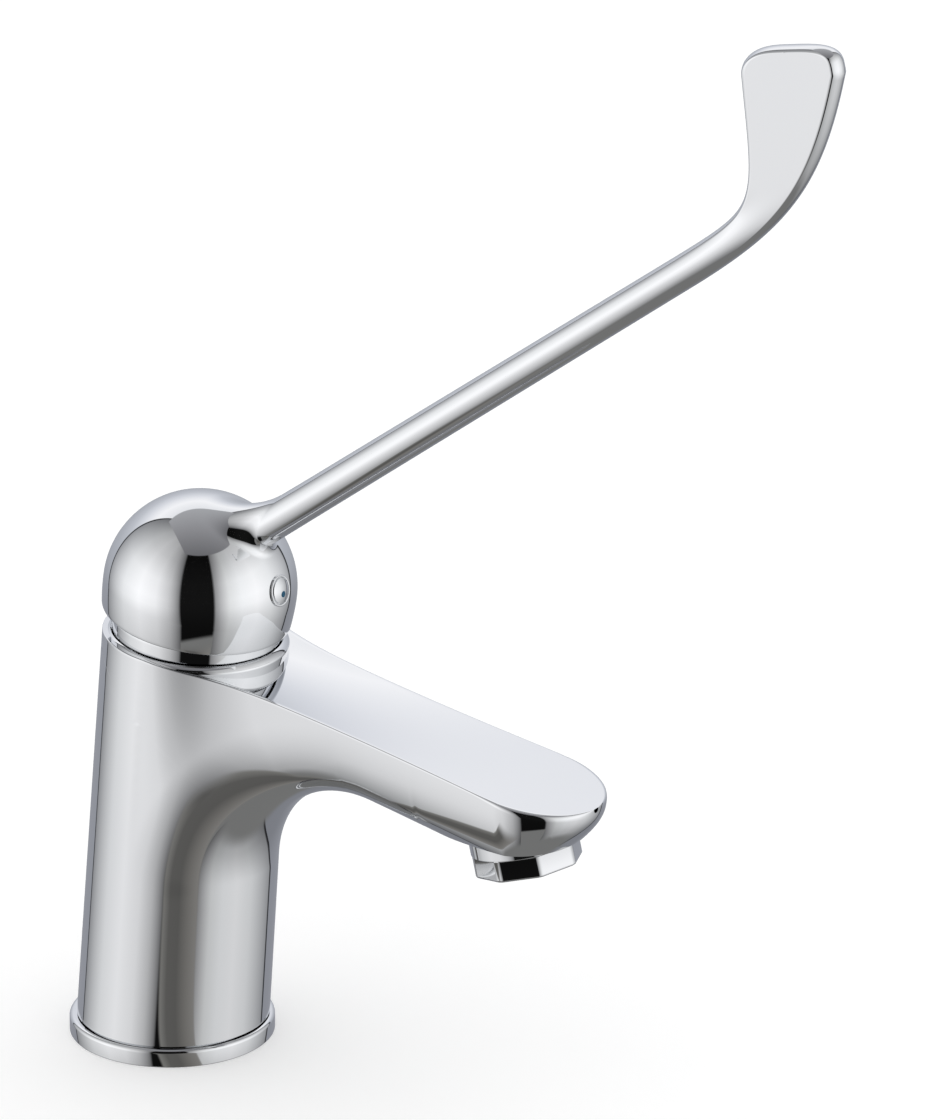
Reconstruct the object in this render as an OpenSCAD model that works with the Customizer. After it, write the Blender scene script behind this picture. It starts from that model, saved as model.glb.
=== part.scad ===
// Elbow lever tap: a single-lever basin mixer whose long lever ends in an upright blade,
// so that it can be worked with an elbow. Sizes in millimetres, angles in degrees.
// The origin is the centre of the base on the deck, +X points along the spout and +Z up.

/* [Base] */
// Diameter of the chrome base ring
base_d = 49; // [47:0.5:56]
// Height of the base ring's flange
base_t = 4.4; // [3:0.2:7]
// Depth of the hollow under the body
base_hollow = 16; // [8:1:24]

/* [Body] */
// Forward lean of the column
lean = 4.7; // [2:0.1:7]
// Column diameter at its foot
column_d = 46; // [44.5:0.5:52]
// Column diameter at its rim
rim_d = 44.4; // [43.8:0.2:48]
// Height of the rim along the column's axis
rim_h = 103.3; // [96:0.5:125]
// Width of the rounded lip round the rim
lip_w = 1.5; // [1:0.1:2]
// Radius of the lip's outer rounding
lip_round = 2.5; // [1.6:0.1:3.5]
// How far the neck narrows from the lip down to its foot
neck_taper = 2.4; // [0.5:0.1:3]

/* [Spout] */
// Distance from the base's centre to the outlet's centre
reach = 98.6; // [90:1:125]
// Downward slope of the spout's top face
spout_drop = 10.6; // [4:0.2:14]
// Spout width at its waist
spout_waist = 30.2; // [28:0.2:34]
// Spout width at its tip
spout_tip_w = 33.4; // [30:0.2:38]
// Depth of the spout's keel under its top face
spout_depth = 20; // [19:0.5:26]
// Radius of the sweep from the column into the spout's underside
sweep_r = 30; // [20:1:40]
// Depth of the dished top face at the neck
dish_depth = 8; // [3:0.5:10]
// Forward tilt of the water jet
jet_tilt = 13; // [0:1:16]
// Upward tilt of the outlet's face towards the tip
face_tilt = 3; // [0:1:8]
// Depth of the outlet's face under the top face
outlet_depth = 14.1; // [13.5:0.1:17]

/* [Aerator] */
// Diameter of the aerator's shell
aerator_d = 25.5; // [22:0.5:26]
// Height of the shell that shows under the spout
aerator_show = 7.9; // [5:0.1:10]
// Length of the shell inside the spout
aerator_thread = 6; // [5:0.5:7]

/* [Handle] */
// Outside diameter of the domed hub
dome_d = 45.5; // [45:0.5:50]
// Height of the dome's centre over the lift pivot
dome_rise = 7.8; // [6:0.2:9]
// Height of the dome's centre over its lower edge
dome_skirt = 7; // [5.6:0.2:7.4]
// Wall of the dome
dome_wall = 1.8; // [1.4:0.1:2.6]
// How far the dome's centre lies behind the spindle's axis
dome_setback = 0.6; // [0:0.1:0.6]
// Nose-down tilt of the closed handle against the column
nose_down = 5.1; // [3:0.1:7]
// Rise of the lever rod from the handle's base plane
lever_rise = 46.1; // [40:0.1:55]
// How far the rod's axis passes above the dome's centre
lever_offset = 3.8; // [2:0.1:6]
// Rod length from the dome's centre to the start of the blade
rod_len = 164; // [100:2:220]
// Rod diameter at the dome
rod_d_root = 8.7; // [7:0.1:11]
// Rod diameter at the blade
rod_d_tip = 7.8; // [6.5:0.1:9]
// Radius of the flare where the rod leaves the dome
root_flare = 3; // [1:0.5:5]
// Thickness of the blade
blade_t = 5.6; // [4:0.2:7]
// Width of the blade along its top edge
blade_w = 25.6; // [18:0.2:30]
// Distance from the rod's end to the middle of the blade's top, along the rod
blade_reach = 52.8; // [46:0.2:62]
// Distance from the rod's axis up to the middle of the blade's top
blade_lift = 24.2; // [18:0.2:32]
// Turn of the blade out of the rod's line
blade_turn = 64.3; // [56:0.1:70]
// Height of the blade's rounded top
blade_crown = 7; // [4:0.1:9]

/* [Cartridge] */
// Diameter of the cartridge's housing
cartridge_d = 34.6; // [33:0.2:35]
// Thickness of the ceramic discs
disc_t = 3.6; // [3:0.1:4.5]
// Thickness of the cartridge's bottom
cartridge_base_t = 6; // [5:0.5:8]
// Height of the lift pivot over the rim
pivot_rise = 3.7; // [3.2:0.1:4.2]
// Lever arm from the lift pivot down to the ball
ball_arm = 20; // [18.6:0.2:21]
// Side of the square spindle
spindle_side = 8; // [6:0.5:9]
// Diameter of the lift pivot pin
pin_d = 4; // [3:0.5:5]
// Lift of the handle from closed to fully open
lift_max = 15; // [8:1:15]

/* [Connections] */
// Tapped bore of the supply inlets, for M10 x 1 hose tails
inlet_bore = 9; // [8:0.1:10]
// Depth of the tapped inlets
inlet_depth = 12; // [8:1:14]
// Tapped bore for the M8 fixing stud
stud_bore = 6.8; // [5:0.1:8.5]
// Depth of the stud's bore
stud_depth = 14; // [8:1:20]

/* [Clearances] */
// Gap between pieces that sit one inside the other
fit_gap = 0.1; // [0.05:0.01:0.15]
// Radial gap of the turning and pivoting fits
run_gap = 0.06; // [0.03:0.01:0.1]
// Gap between pieces that pass each other
pass_gap = 0.3; // [0.2:0.05:0.4]

/* [Hidden] */
$fn = 64;
eps = 0.01;

chrome = "#c9ced4";
brass = "#b8964f";
black_rubber = "#232325";
white_plastic = "#e6e4de";
grey_plastic = "#8d9196";
ceramic = "#f2efe6";
steel = "#a9adb2";
blue_enamel = "#2c62b4";

// Base: the ring's seat stands a seam's height above its flange and carries the body.
seam = 0.4;
body_foot_z = base_t + seam;
hollow_r = column_d / 2 - 4.6;
hollow_top_z = body_foot_z + base_hollow;
ring_bore_r = hollow_r - 2;
spigot_h = 3;
gasket_t = 1.8;
gasket_w = 2.4;
gasket_mid_r = base_d / 2 - 2.6;
edge_round = 1;

// Column, lip and cartridge chamber, as radii and heights along the leaning axis.
column_r = column_d / 2;
rim_r = rim_d / 2;
lip_in_r = rim_r - lip_w;
ledge_h = rim_h - 2.7;
chamber_r = cartridge_d / 2 + 0.7;
neck_foot_r = rim_r - neck_taper;
neck_h = 13;
lip_h = rim_h - lip_round;
lip_band = 0.6;
lip_in = 0.3;

// Cartridge stack, from the clamping nut's seat downwards.
housing_top = rim_h - 7.3;
shoulder_t = 2.7;
flange_t = 3.5;
film = 0.05;
turret_top = rim_h + 7;
flange_top = housing_top - shoulder_t - film;
flange_foot = flange_top - flange_t;
carrier_top = flange_foot - pass_gap;
pivot_h = rim_h + pivot_rise;
ball_h = pivot_h - ball_arm;
ball_r = 3;
carrier_foot = ball_h - ball_r - 2.4;
moving_foot = carrier_foot - disc_t;
fixed_top = moving_foot - film;
fixed_foot = fixed_top - disc_t;
base_foot = fixed_foot - cartridge_base_t;
seal_proud = 0.25;
chamber_floor = base_foot - seal_proud;

// Cartridge radii.
housing_r = cartridge_d / 2;
housing_in_r = housing_r - 1.8;
disc_r = housing_in_r - pass_gap;
turret_r = 10.8;
carrier_r = 11;
carrier_half_y = 9.4;
ball_shift = -ball_arm * sin(nose_down);
slot_back = spindle_side / 2 + ball_arm * sin(nose_down);
slot_front = spindle_side / 2 + ball_arm * sin(lift_max - nose_down);
rail_h = 4.4;
rail_sunk = 1;
rail_w = 1.8;
rail_len = 14;
rail_y = carrier_half_y + pass_gap + rail_w / 2;
pin_short = 1.6;
hub_r = pin_d / 2 + 2.2;
arm_r = ball_r - 0.6;
port_in = [-5.2, 6.4];
port_r = 2.6;
port_out_x = 6.6;
port_out_r = port_r + 0.6;
window_floor = 1.6;
seal_r = 0.9;
seal_out_r = port_r + 2 * seal_r;

// Nut and hood.
hood_gap = 0.75;
hood_wall = 1.4;
hood_r = lip_in_r - hood_gap;
hood_in_r = hood_r - hood_wall;
hood_top = rim_h + 6.4;
hood_round = 3.6;
hood_bore_r = turret_r + 1.6;
nut_r = chamber_r - pass_gap;
nut_bore_r = turret_r + 1.4;
hex_r = nut_bore_r + 4;
hex_top = rim_h + 3.6;
collar_r = hood_in_r - fit_gap;
collar_top = rim_h + 1;
groove_r = collar_r - 0.9;
ring_cord_r = (hood_in_r - groove_r) / 2;
ring_h = rim_h - 0.6;

// Spout: the top face is a slanted plane through the column's axis near its rim.
top_below_rim = 0.35;
crease_h = rim_h - top_below_rim;
top_z0 = crease_h * (cos(lean) + sin(lean) * tan(spout_drop));
waist_x = rim_r + 28;
tip_centre_x = reach + 3;
root_x = crease_h * sin(lean);
root_run = 17;
keel_drop = spout_depth / cos(spout_drop);
tuck_x = tip_centre_x + 1.4;
tuck_slope = 0.75;
keel_slope = 0.022;
keel_tilt = atan(tan(spout_drop) + keel_slope);
keel_z0 = top_z0 - keel_drop + keel_slope * reach;
column_taper = (column_r - rim_r) / lip_h;
// The sweep's arc touches the column's front line and the keel line.
front_slope = sin(lean) - column_taper * cos(lean);
sweep_x = (column_r + sweep_r + (keel_z0 - sweep_r / cos(keel_tilt)) * front_slope)
    / (cos(lean) + column_taper * sin(lean) + tan(keel_tilt) * front_slope);
sweep_z = keel_z0 - sweep_x * tan(keel_tilt) - sweep_r / cos(keel_tilt);
sweep_end_x = sweep_x + sweep_r * sin(keel_tilt);
sweep_depth = spout_top(sweep_x) - sweep_z - sweep_r;
flank_angle = 72;
fullness = 2.6;
over_top = 6;
lip_edge = 0.8;
outlet_z = spout_top(reach) - outlet_depth;
aerator_r = aerator_d / 2;
water_r = 3.5;

// Aerator: its shell is let into the outlet's face, which leans less than the jet.
shell_sink = 2.6;
shell_r_gap = 0.2;
thread_r = aerator_r - 0.9;
shell_in_r = aerator_r - 2.1;
shell_bevel = 0.6;
keeper_w = 1.4;
washer_t = 1.4;
washer_w = 3;
seat_h = aerator_thread + washer_t;
insert_r = shell_in_r - fit_gap;
insert_foot = -aerator_show + keeper_w;
screen_t = 1.2;
insert_top = aerator_thread - screen_t;
jet_r = 0.95;
mesh_r = 0.7;
flats = 8;
flats_h = 5;
flat_r = aerator_r - 0.85;

// Handle, in the frame of the lift pivot: +X forward, +Z up the spindle.
dome_r = dome_d / 2;
dome_edge = dome_rise - dome_skirt;
dome_in_r = dome_r - dome_wall;
boss_r = spindle_side / 2 + 4;
boss_foot = 5.6;
spindle_top = 17;
socket_top = spindle_top + 1;
screw_r = 2.4;
screw_near = spindle_side / 2 + dome_setback - 0.6;
screw_len = 6.4;
key_r = 1.45;
key_depth = 2.4;
plug_tilt = 18;
plug_r = 3.8;
plug_stem_r = 3;
plug_seat = dome_r - 2.2;
plug_proud = 0.35;
dot_r = 0.65;
dot_drop = 0.9;
rod_r_root = rod_d_root / 2;
rod_r_tip = rod_d_tip / 2;

// Supply and fixing bores in the web above the hollow.
inlet_place = [4.4, 8.4];
stud_place = [-8.6, 0];

function mix(a, b, t) = a + (b - a) * t;
function clamp01(t) = min(1, max(0, t));
function ease(t) = t * t * (3 - 2 * t);
function bezier(p, t) = let (s = 1 - t)
    p[0] * s * s * s + p[1] * 3 * s * s * t + p[2] * 3 * s * t * t + p[3] * t * t * t;
function arc_points(c, r, a0, a1, n) =
    [for (i = [0 : n]) let (a = mix(a0, a1, i / n)) c + r * [cos(a), sin(a)]];

// The spout's outline: top plane, half-width in plan, and the keel line with its sweep.
function spout_top(x) = top_z0 - x * tan(spout_drop);
function half_width(x) =
    mix(spout_waist, spout_tip_w, pow(clamp01((x - waist_x) / (tip_centre_x - waist_x)), 2)) / 2
    + (rim_r - spout_waist / 2) * pow(1 + pow(max(0, x - root_x) / root_run, 2), -1.5);
function keel_line(x) =
    spout_top(x) - keel_drop + keel_slope * max(0, reach - x) + tuck_slope * max(0, x - tuck_x);
function keel_z(x) = x > sweep_end_x ? keel_line(x)
    : sweep_z + sqrt(pow(sweep_r, 2) - pow(x - sweep_x, 2));

// The sweep's inner line as a distance from its centre: the arc, and the column's front line below it.
function inner_line(a) = sweep_r / (a < lean ? cos(a - lean) - column_taper * sin(a - lean) : 1);

// Distance-like fields, negative inside: the column, the sections that turn with the sweep from the
// column's round to the spout's flat flanks and rounded keel, and the spout's hull.
function rounded(side, deep, n) = pow(pow(side, n) + pow(deep, n), 1 / n) - 1;
function along_column(p) = p.x * sin(lean) + p.z * cos(lean);
function off_column(p) = p.x * cos(lean) - p.z * sin(lean);
function column_at(h) = column_r - column_taper * h;
function column_field(p) = norm([off_column(p), p.y]) - column_at(along_column(p));
function swept_field(p) =
    let (q = [sweep_x - p.x, p.z - sweep_z], a = atan2(q.y, q.x), t = ease(clamp01(a / 90)),
        u = off_column(p), r = column_at(along_column(p)),
        w = mix(r, half_width(p.x) * mix(r / rim_r, 1, t), ease(clamp01(a / flank_angle))),
        deep = max(0, 1 - (norm(q) - inner_line(a)) / mix(r / cos(lean), sweep_depth, t)),
        side = u < 0 ? norm([u, p.y]) / r : abs(p.y) / w)
    rounded(side, deep, mix(2, fullness, t)) * w;
function hull_field(p) =
    let (w = half_width(p.x), z = spout_top(p.x), deep = max(0, z - p.z) / (z - keel_z(p.x)))
    rounded(norm([p.y, max(0, p.x - tip_centre_x)]) / w, deep, fullness) * w;
function spout_field(p) = max(p.z - spout_top(p.x) - over_top,
    p.z < sweep_z ? column_field(p) : p.x > sweep_x ? hull_field(p) : swept_field(p));

// A ray from an inner point to the spout's surface, closed in by halving.
function ray_end(c, d, lo, hi, n) = n == 0 ? c + d * (lo + hi) / 2
    : let (m = (lo + hi) / 2)
        spout_field(c + d * m) > 0 ? ray_end(c, d, lo, m, n - 1) : ray_end(c, d, m, hi, n - 1);

// Section planes rise up the column, fan round the sweep's centre and march along the spout to its tip.
// Each is [centre, direction of the section's height].
fan_steps = 16;
march_steps = 22;
tip_x = tip_centre_x + spout_tip_w / 2;
foot = [for (z = [body_foot_z, mix(body_foot_z, sweep_z, 0.5)]) [[z * tan(lean), 0, z], [-1, 0, 0]]];
fan = [for (i = [0 : fan_steps])
    let (a = 90 * i / fan_steps, q = sweep_r + mix(column_r, spout_depth * 0.5, i / fan_steps))
    [[sweep_x - q * cos(a), 0, sweep_z + q * sin(a)], [-cos(a), 0, sin(a)]]];
march = [for (i = [1 : march_steps])
    let (x = mix(sweep_x, tip_x - 0.05, sin(90 * i / march_steps)),
        e = max(0, x - tip_centre_x) / (spout_tip_w / 2))
    [[x, 0, spout_top(x) - spout_depth * 0.45 * (1 - e * e)], [0, 0, 1]]];
sections = concat(foot, fan, march);
rays = 64;
skin = [for (s = sections) [for (k = [0 : rays - 1]) let (a = 360 * k / rays)
    ray_end(s[0], [0, cos(a), 0] + s[1] * sin(a), 0, 130, 26)]];

// Faces of a tube of closed rings with n points each.
function tube_faces(rows, n) = concat(
    [[for (k = [0 : n - 1]) k]],
    [for (i = [0 : rows - 2], k = [0 : n - 1])
        let (a = i * n + k, b = i * n + (k + 1) % n) each [[a, a + n, b], [b, a + n, b + n]]],
    [[for (k = [n - 1 : -1 : 0]) (rows - 1) * n + k]]);
module loft(rings) {
    polyhedron([for (r = rings) each r], tube_faces(len(rings), len(rings[0])), convexity = 6);
}

// Frames: along the leaning column, on the lift pivot, and on the outlet with +Z into the spout.
module on_column(h = 0) { rotate([0, lean, 0]) translate([0, 0, h]) children(); }
module on_pivot() { on_column(pivot_h) rotate([0, nose_down, 0]) children(); }
module on_outlet() { translate([reach, 0, outlet_z]) rotate([0, -jet_tilt, 0]) children(); }
module at_dome() { translate([-dome_setback, 0, dome_rise]) children(); }
module on_plug() { on_pivot() at_dome() rotate([0, 90 - plug_tilt, 0]) children(); }
// A round rod from p to q, turned about itself so that its seam stays clear of the openings.
seam_turn = 40;
module rod_between(p, q, r) {
    d = q - p;
    translate(p) rotate([0, acos(d.z / norm(d)), atan2(d.y, d.x)]) rotate(seam_turn)
        cylinder(h = norm(d), r = r);
}
module ring(r_in, r_out, h) {
    difference() {
        cylinder(h = h, r = r_out);
        translate([0, 0, -1]) cylinder(h = h + 2, r = r_in);
    }
}
module torus(r, cord) { rotate_extrude() translate([r, 0]) circle(r = cord, $fn = 24); }

// The space over the dished top face, between the two creases, from the neck to the tip.
dish_cols = 14;
dish_rows = 16;
dish_end_x = tip_centre_x - 4;
function dish_sag(x) = dish_depth * pow(1 - clamp01((x - rim_r - 6) / (dish_end_x - rim_r - 6)), 2);
dish_rings = [for (i = [0 : dish_rows])
    let (x = mix(root_x - 4, dish_end_x, i / dish_rows), w = half_width(x) - lip_edge)
    concat([for (k = [0 : dish_cols]) let (y = mix(-w, w, k / dish_cols))
        [x, y, spout_top(x) + 0.02 - (dish_sag(x) + 0.05) * (1 - pow(y / w, 2))]],
        [[x, w, spout_top(x) + 4], [x, -w, spout_top(x) + 4]])];

// Neck under the lip: narrows downwards, with a ledge inside for the hood.
neck_profile = concat(
    [[0, rim_h - neck_h - 4], [neck_foot_r, rim_h - neck_h - 4], [neck_foot_r, rim_h - neck_h],
     [rim_r - lip_in, lip_h - lip_band]],
    arc_points([rim_r - lip_in - lip_round, lip_h], lip_round, 0, 90, 8), [[0, rim_h]]);

// Water paths: two inlets up to the chamber floor and one outlet along the spout.
module water_paths() {
    for (s = [-1, 1]) {
        low = [inlet_place.x, s * inlet_place.y, hollow_top_z];
        translate(low - [0, 0, 1]) cylinder(h = inlet_depth + 1, d = inlet_bore);
        rod_between(low + [0, 0, inlet_depth - 1],
            [port_in.x * cos(lean) + (chamber_floor + 1) * sin(lean), s * port_in.y,
             (chamber_floor + 1) * cos(lean) - port_in.x * sin(lean)], port_r);
    }
    translate([stud_place.x, stud_place.y, hollow_top_z - 1]) cylinder(h = stud_depth + 1, d = stud_bore);
    window_h = base_foot + window_floor + port_r;
    bend = [rim_r + 18, 0, outlet_z + seat_h + 1];
    rod_between([window_h * sin(lean) + chamber_r - 3, 0, window_h * cos(lean)], bend, water_r);
    translate(bend) sphere(r = water_r + fit_gap);
    rod_between(bend, [reach - 3, 0, bend.z], water_r);
    on_outlet() {
        translate([0, 0, -2 * shell_sink]) cylinder(h = 3 * shell_sink, r = aerator_r + shell_r_gap);
        cylinder(h = seat_h, r = thread_r + shell_r_gap);
        cylinder(h = seat_h + 2, r = thread_r - washer_w);
    }
}

// Brass casting, chromed: column, swept spout, neck with its lip, chamber and waterways.
module spout_body() {
    color(chrome) difference() {
        union() {
            difference() {
                loft(skin);
                on_column(crease_h) cylinder(h = 60, r = 60);
                translate([0, 0, top_z0]) rotate([0, spout_drop, 0])
                    translate([-60, -60, 0]) cube([220, 120, 60]);
                loft(dish_rings);
                translate([reach, 0, outlet_z]) rotate([0, -face_tilt, 0])
                    translate([0, 0, -20]) cylinder(h = 20, r = spout_tip_w / 2 + 3);
            }
            on_column() rotate_extrude() polygon(neck_profile);
        }
        on_column(chamber_floor) cylinder(h = 60, r = chamber_r);
        on_column(ledge_h) cylinder(h = 60, r = lip_in_r);
        translate([0, 0, body_foot_z - 1]) cylinder(h = base_hollow + 1, r = hollow_r);
        water_paths();
    }
}

// Chromed ring on the deck, with a rounded flange, a seat and a centring spigot.
module base_ring() {
    color(chrome) difference() {
        rotate_extrude() polygon(concat(
            [[ring_bore_r, 0], [base_d / 2, 0]],
            arc_points([base_d / 2 - edge_round, base_t - edge_round], edge_round, 0, 90, 6),
            [[column_r - 1, base_t], [column_r - 1, body_foot_z], [hollow_r - pass_gap, body_foot_z],
             [hollow_r - pass_gap, body_foot_z + spigot_h], [ring_bore_r, body_foot_z + spigot_h]]));
        translate([0, 0, -1])
            ring(gasket_mid_r - gasket_w / 2 - fit_gap, gasket_mid_r + gasket_w / 2 + fit_gap, gasket_t + 1);
    }
}

// Rubber ring in the groove under the base ring, flush with the deck.
module base_gasket() {
    color(black_rubber) ring(gasket_mid_r - gasket_w / 2, gasket_mid_r + gasket_w / 2, gasket_t);
}

// Cartridge bottom: inlet ports with counterbores for the seals, and a side window to the spout.
module cartridge_base() {
    color(white_plastic) on_column(base_foot) difference() {
        cylinder(h = cartridge_base_t, r = housing_r);
        for (s = [-1, 1]) translate([port_in.x, s * port_in.y, 0]) {
            translate([0, 0, -1]) cylinder(h = cartridge_base_t + 2, r = port_r);
            translate([0, 0, -1]) cylinder(h = 1 + 2 * seal_r - seal_proud, r = seal_out_r + fit_gap);
        }
        translate([port_out_x, 0, window_floor]) cylinder(h = cartridge_base_t, r = port_out_r);
        translate([port_out_x, 0, window_floor + port_r]) rotate([0, 90, 0])
            cylinder(h = housing_r, r = port_r);
    }
}

// Rubber rings that seal the two inlets against the chamber floor.
module port_seals() {
    color(black_rubber) on_column(base_foot) for (s = [-1, 1])
        translate([port_in.x, s * port_in.y, -seal_proud]) ring(port_r, seal_out_r, 2 * seal_r);
}

// Ceramic disc that stays still, with two inlet ports and the outlet.
module fixed_disc() {
    color(ceramic) on_column(fixed_foot) difference() {
        cylinder(h = disc_t, r = disc_r);
        for (s = [-1, 1]) translate([port_in.x, s * port_in.y, -1]) cylinder(h = disc_t + 2, r = port_r);
        translate([port_out_x, 0, -1]) cylinder(h = disc_t + 2, r = port_out_r);
    }
}

// Ceramic disc that slides and turns on the fixed one, with a mixing pocket underneath.
module moving_disc() {
    color(ceramic) on_column(moving_foot) translate([ball_shift, 0, 0]) difference() {
        cylinder(h = disc_t, r = carrier_r - fit_gap);
        translate([1, 0, -1]) cylinder(h = 1 + disc_t / 2, r = carrier_r - 4.4);
    }
}

// Plastic slider between flats, with the socket that the spindle's ball moves.
module disc_carrier() {
    color(grey_plastic) on_column(carrier_foot) translate([ball_shift, 0, 0]) difference() {
        intersection() {
            cylinder(h = carrier_top - carrier_foot, r = carrier_r);
            translate([-20, -carrier_half_y, 0]) cube([40, 2 * carrier_half_y, 20]);
        }
        translate([0, 0, ball_h - carrier_foot - ball_r - 1]) cylinder(h = 20, r = ball_r + pass_gap);
    }
}

// Plastic barrel of the cartridge with the shoulder that keeps the turret down.
module cartridge_housing() {
    color(white_plastic) on_column(fixed_foot) difference() {
        cylinder(h = housing_top - fixed_foot, r = housing_r);
        translate([0, 0, -1]) cylinder(h = housing_top - shoulder_t - fixed_foot + 1, r = housing_in_r);
        cylinder(h = 60, r = turret_r + run_gap);
    }
}

// Turning guide: flange under the shoulder, neck with the spindle's slot, two rails for the slider.
module turret_guide() {
    color(grey_plastic) on_column() difference() {
        union() {
            translate([0, 0, flange_foot]) cylinder(h = flange_t, r = housing_in_r - pass_gap);
            translate([0, 0, flange_foot]) cylinder(h = turret_top - flange_foot, r = turret_r);
            for (s = [-1, 1]) translate([0, s * rail_y, flange_foot + (rail_sunk - rail_h) / 2])
                cube([rail_len, rail_w, rail_h + rail_sunk], center = true);
        }
        translate([-slot_back, -spindle_side / 2 - pass_gap, flange_foot - 1])
            cube([slot_back + slot_front, spindle_side + 2 * pass_gap, 60]);
        translate([0, 0, pivot_h]) rotate([90, 0, 0]) cylinder(h = 60, d = pin_d, center = true);
    }
}

// Steel pin across the turret, the lift pivot.
module pivot_pin() {
    color(steel) on_column(pivot_h) rotate([90, 0, 0])
        cylinder(h = 2 * turret_r - pin_short, d = pin_d, center = true);
}

// Spindle: square shank for the handle, hub on the pin, arm and ball down to the slider.
module spindle() {
    color(steel) on_pivot() difference() {
        union() {
            translate([0, 0, spindle_top / 2]) cube([spindle_side, spindle_side, spindle_top], center = true);
            rotate([90, 0, 0]) cylinder(h = spindle_side, r = hub_r, center = true);
            translate([0, 0, -ball_arm]) cylinder(h = ball_arm, r = arm_r);
            translate([0, 0, -ball_arm]) sphere(r = ball_r);
        }
        rotate([90, 0, 0]) cylinder(h = 60, r = pin_d / 2 + run_gap, center = true);
        at_dome() rotate([0, 90 - plug_tilt, 0])
            translate([0, 0, screw_near]) cylinder(h = 20, r = screw_r + fit_gap);
    }
}

// Brass nut that clamps the cartridge, with a collar, a groove for the hood's ring and a hexagon.
module cartridge_nut() {
    color(brass) on_column() difference() {
        union() {
            translate([0, 0, housing_top]) cylinder(h = rim_h - housing_top, r = nut_r);
            translate([0, 0, ledge_h + pass_gap]) cylinder(h = collar_top - ledge_h - pass_gap, r = collar_r);
            translate([0, 0, collar_top]) cylinder(h = hex_top - collar_top, r = hex_r, $fn = 6);
        }
        translate([0, 0, housing_top - 1]) cylinder(h = 60, r = nut_bore_r);
        translate([0, 0, ring_h - ring_cord_r - fit_gap])
            ring(groove_r, collar_r + 5, 2 * (ring_cord_r + fit_gap));
    }
}

// Chromed hood over the nut, standing on the ledge inside the lip, with a rounded shoulder.
module hood() {
    color(chrome) on_column() rotate_extrude() polygon(concat(
        [[hood_in_r, ledge_h], [hood_r, ledge_h]],
        arc_points([hood_r - hood_round, hood_top - hood_round], hood_round, 0, 90, 8),
        [[hood_bore_r, hood_top], [hood_bore_r, hood_top - hood_wall]],
        arc_points([hood_r - hood_round, hood_top - hood_round], hood_round - hood_wall, 90, 0, 6)));
}

// Rubber ring in the nut's groove that grips the hood.
module hood_ring() {
    color(black_rubber) on_column(ring_h) torus(groove_r + ring_cord_r, ring_cord_r);
}

// Lever: rod sections along its axis, then the blade between its inner and outer edges.
// Points are [along the rod, above the rod's axis].
lever_dir = [cos(lever_rise), 0, sin(lever_rise)];
lever_up = [-sin(lever_rise), 0, cos(lever_rise)];
function lever_point(q, y) =
    [-dome_setback, y, dome_rise] + lever_dir * q.x + lever_up * (q.y + lever_offset);
blade_mid = [rod_len + blade_reach, blade_lift];
blade_across = [sin(blade_turn), -cos(blade_turn)];
blade_up = [cos(blade_turn), sin(blade_turn)];
function at_angle(a) = [cos(a), sin(a)];
inner_end = blade_mid - blade_across * blade_w / 2;
outer_end = blade_mid + blade_across * blade_w / 2;
inner_edge = [[rod_len, rod_r_tip], [rod_len + 28.6, rod_r_tip],
    inner_end - 29.5 * at_angle(blade_turn - 3.5), inner_end];
outer_edge = [[rod_len, -rod_r_tip], [rod_len + 31, -rod_r_tip],
    outer_end - 27.6 * at_angle(blade_turn - 21.5), outer_end];

ring_pts = 32;
// Ring between two edge points with a half-thickness, from round (n = 2) to slab-like (larger n).
function power(v, n) = sign(v) * pow(abs(v), 2 / n);
function lever_ring(a, b, half_t, n) = [for (k = [0 : ring_pts - 1]) let (t = 360 * k / ring_pts)
    lever_point((a + b) / 2 + (b - a) / 2 * power(cos(t), n), half_t * power(sin(t), n))];
function rod_ring(x, r) = lever_ring([x, r], [x, -r], r, 2);
function rod_r(x) = mix(rod_r_root, rod_r_tip, (x - dome_r) / (rod_len - dome_r));
flare_x = dome_r - 2.6;
flare_steps = 5;
blade_steps = 16;
crown_steps = 7;
slab = 4.6;
root_rings = [for (i = [0 : flare_steps])
    let (a = 90 * i / flare_steps, x = flare_x + root_flare * 1.4 * sin(a))
    rod_ring(x, rod_r(x) + root_flare * 0.8 * (1 - sin(a)))];
mid_rings = [for (t = [0.35, 0.7]) rod_ring(rod_len * t, rod_r(rod_len * t))];
blade_rings = [for (i = [0 : blade_steps]) let (t = i / blade_steps)
    lever_ring(bezier(inner_edge, t), bezier(outer_edge, t),
        mix(rod_r_tip, blade_t / 2, clamp01(t * 1.6)), mix(2, slab, clamp01(t * 1.5)))];
crown_rings = [for (i = [1 : crown_steps])
    let (a = 88 * i / crown_steps, w = blade_across * blade_w / 2 * pow(cos(a), 0.5),
        mid = blade_mid + blade_up * blade_crown * pow(sin(a), 0.8))
    lever_ring(mid - w, mid + w, blade_t / 2 * mix(1, 0.72, pow(i / crown_steps, 3)), slab)];
buried_ring = rod_ring(dome_r - 8, rod_r_root + root_flare);
lever_rings = concat([buried_ring], root_rings, mid_rings, blade_rings, crown_rings);

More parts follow.
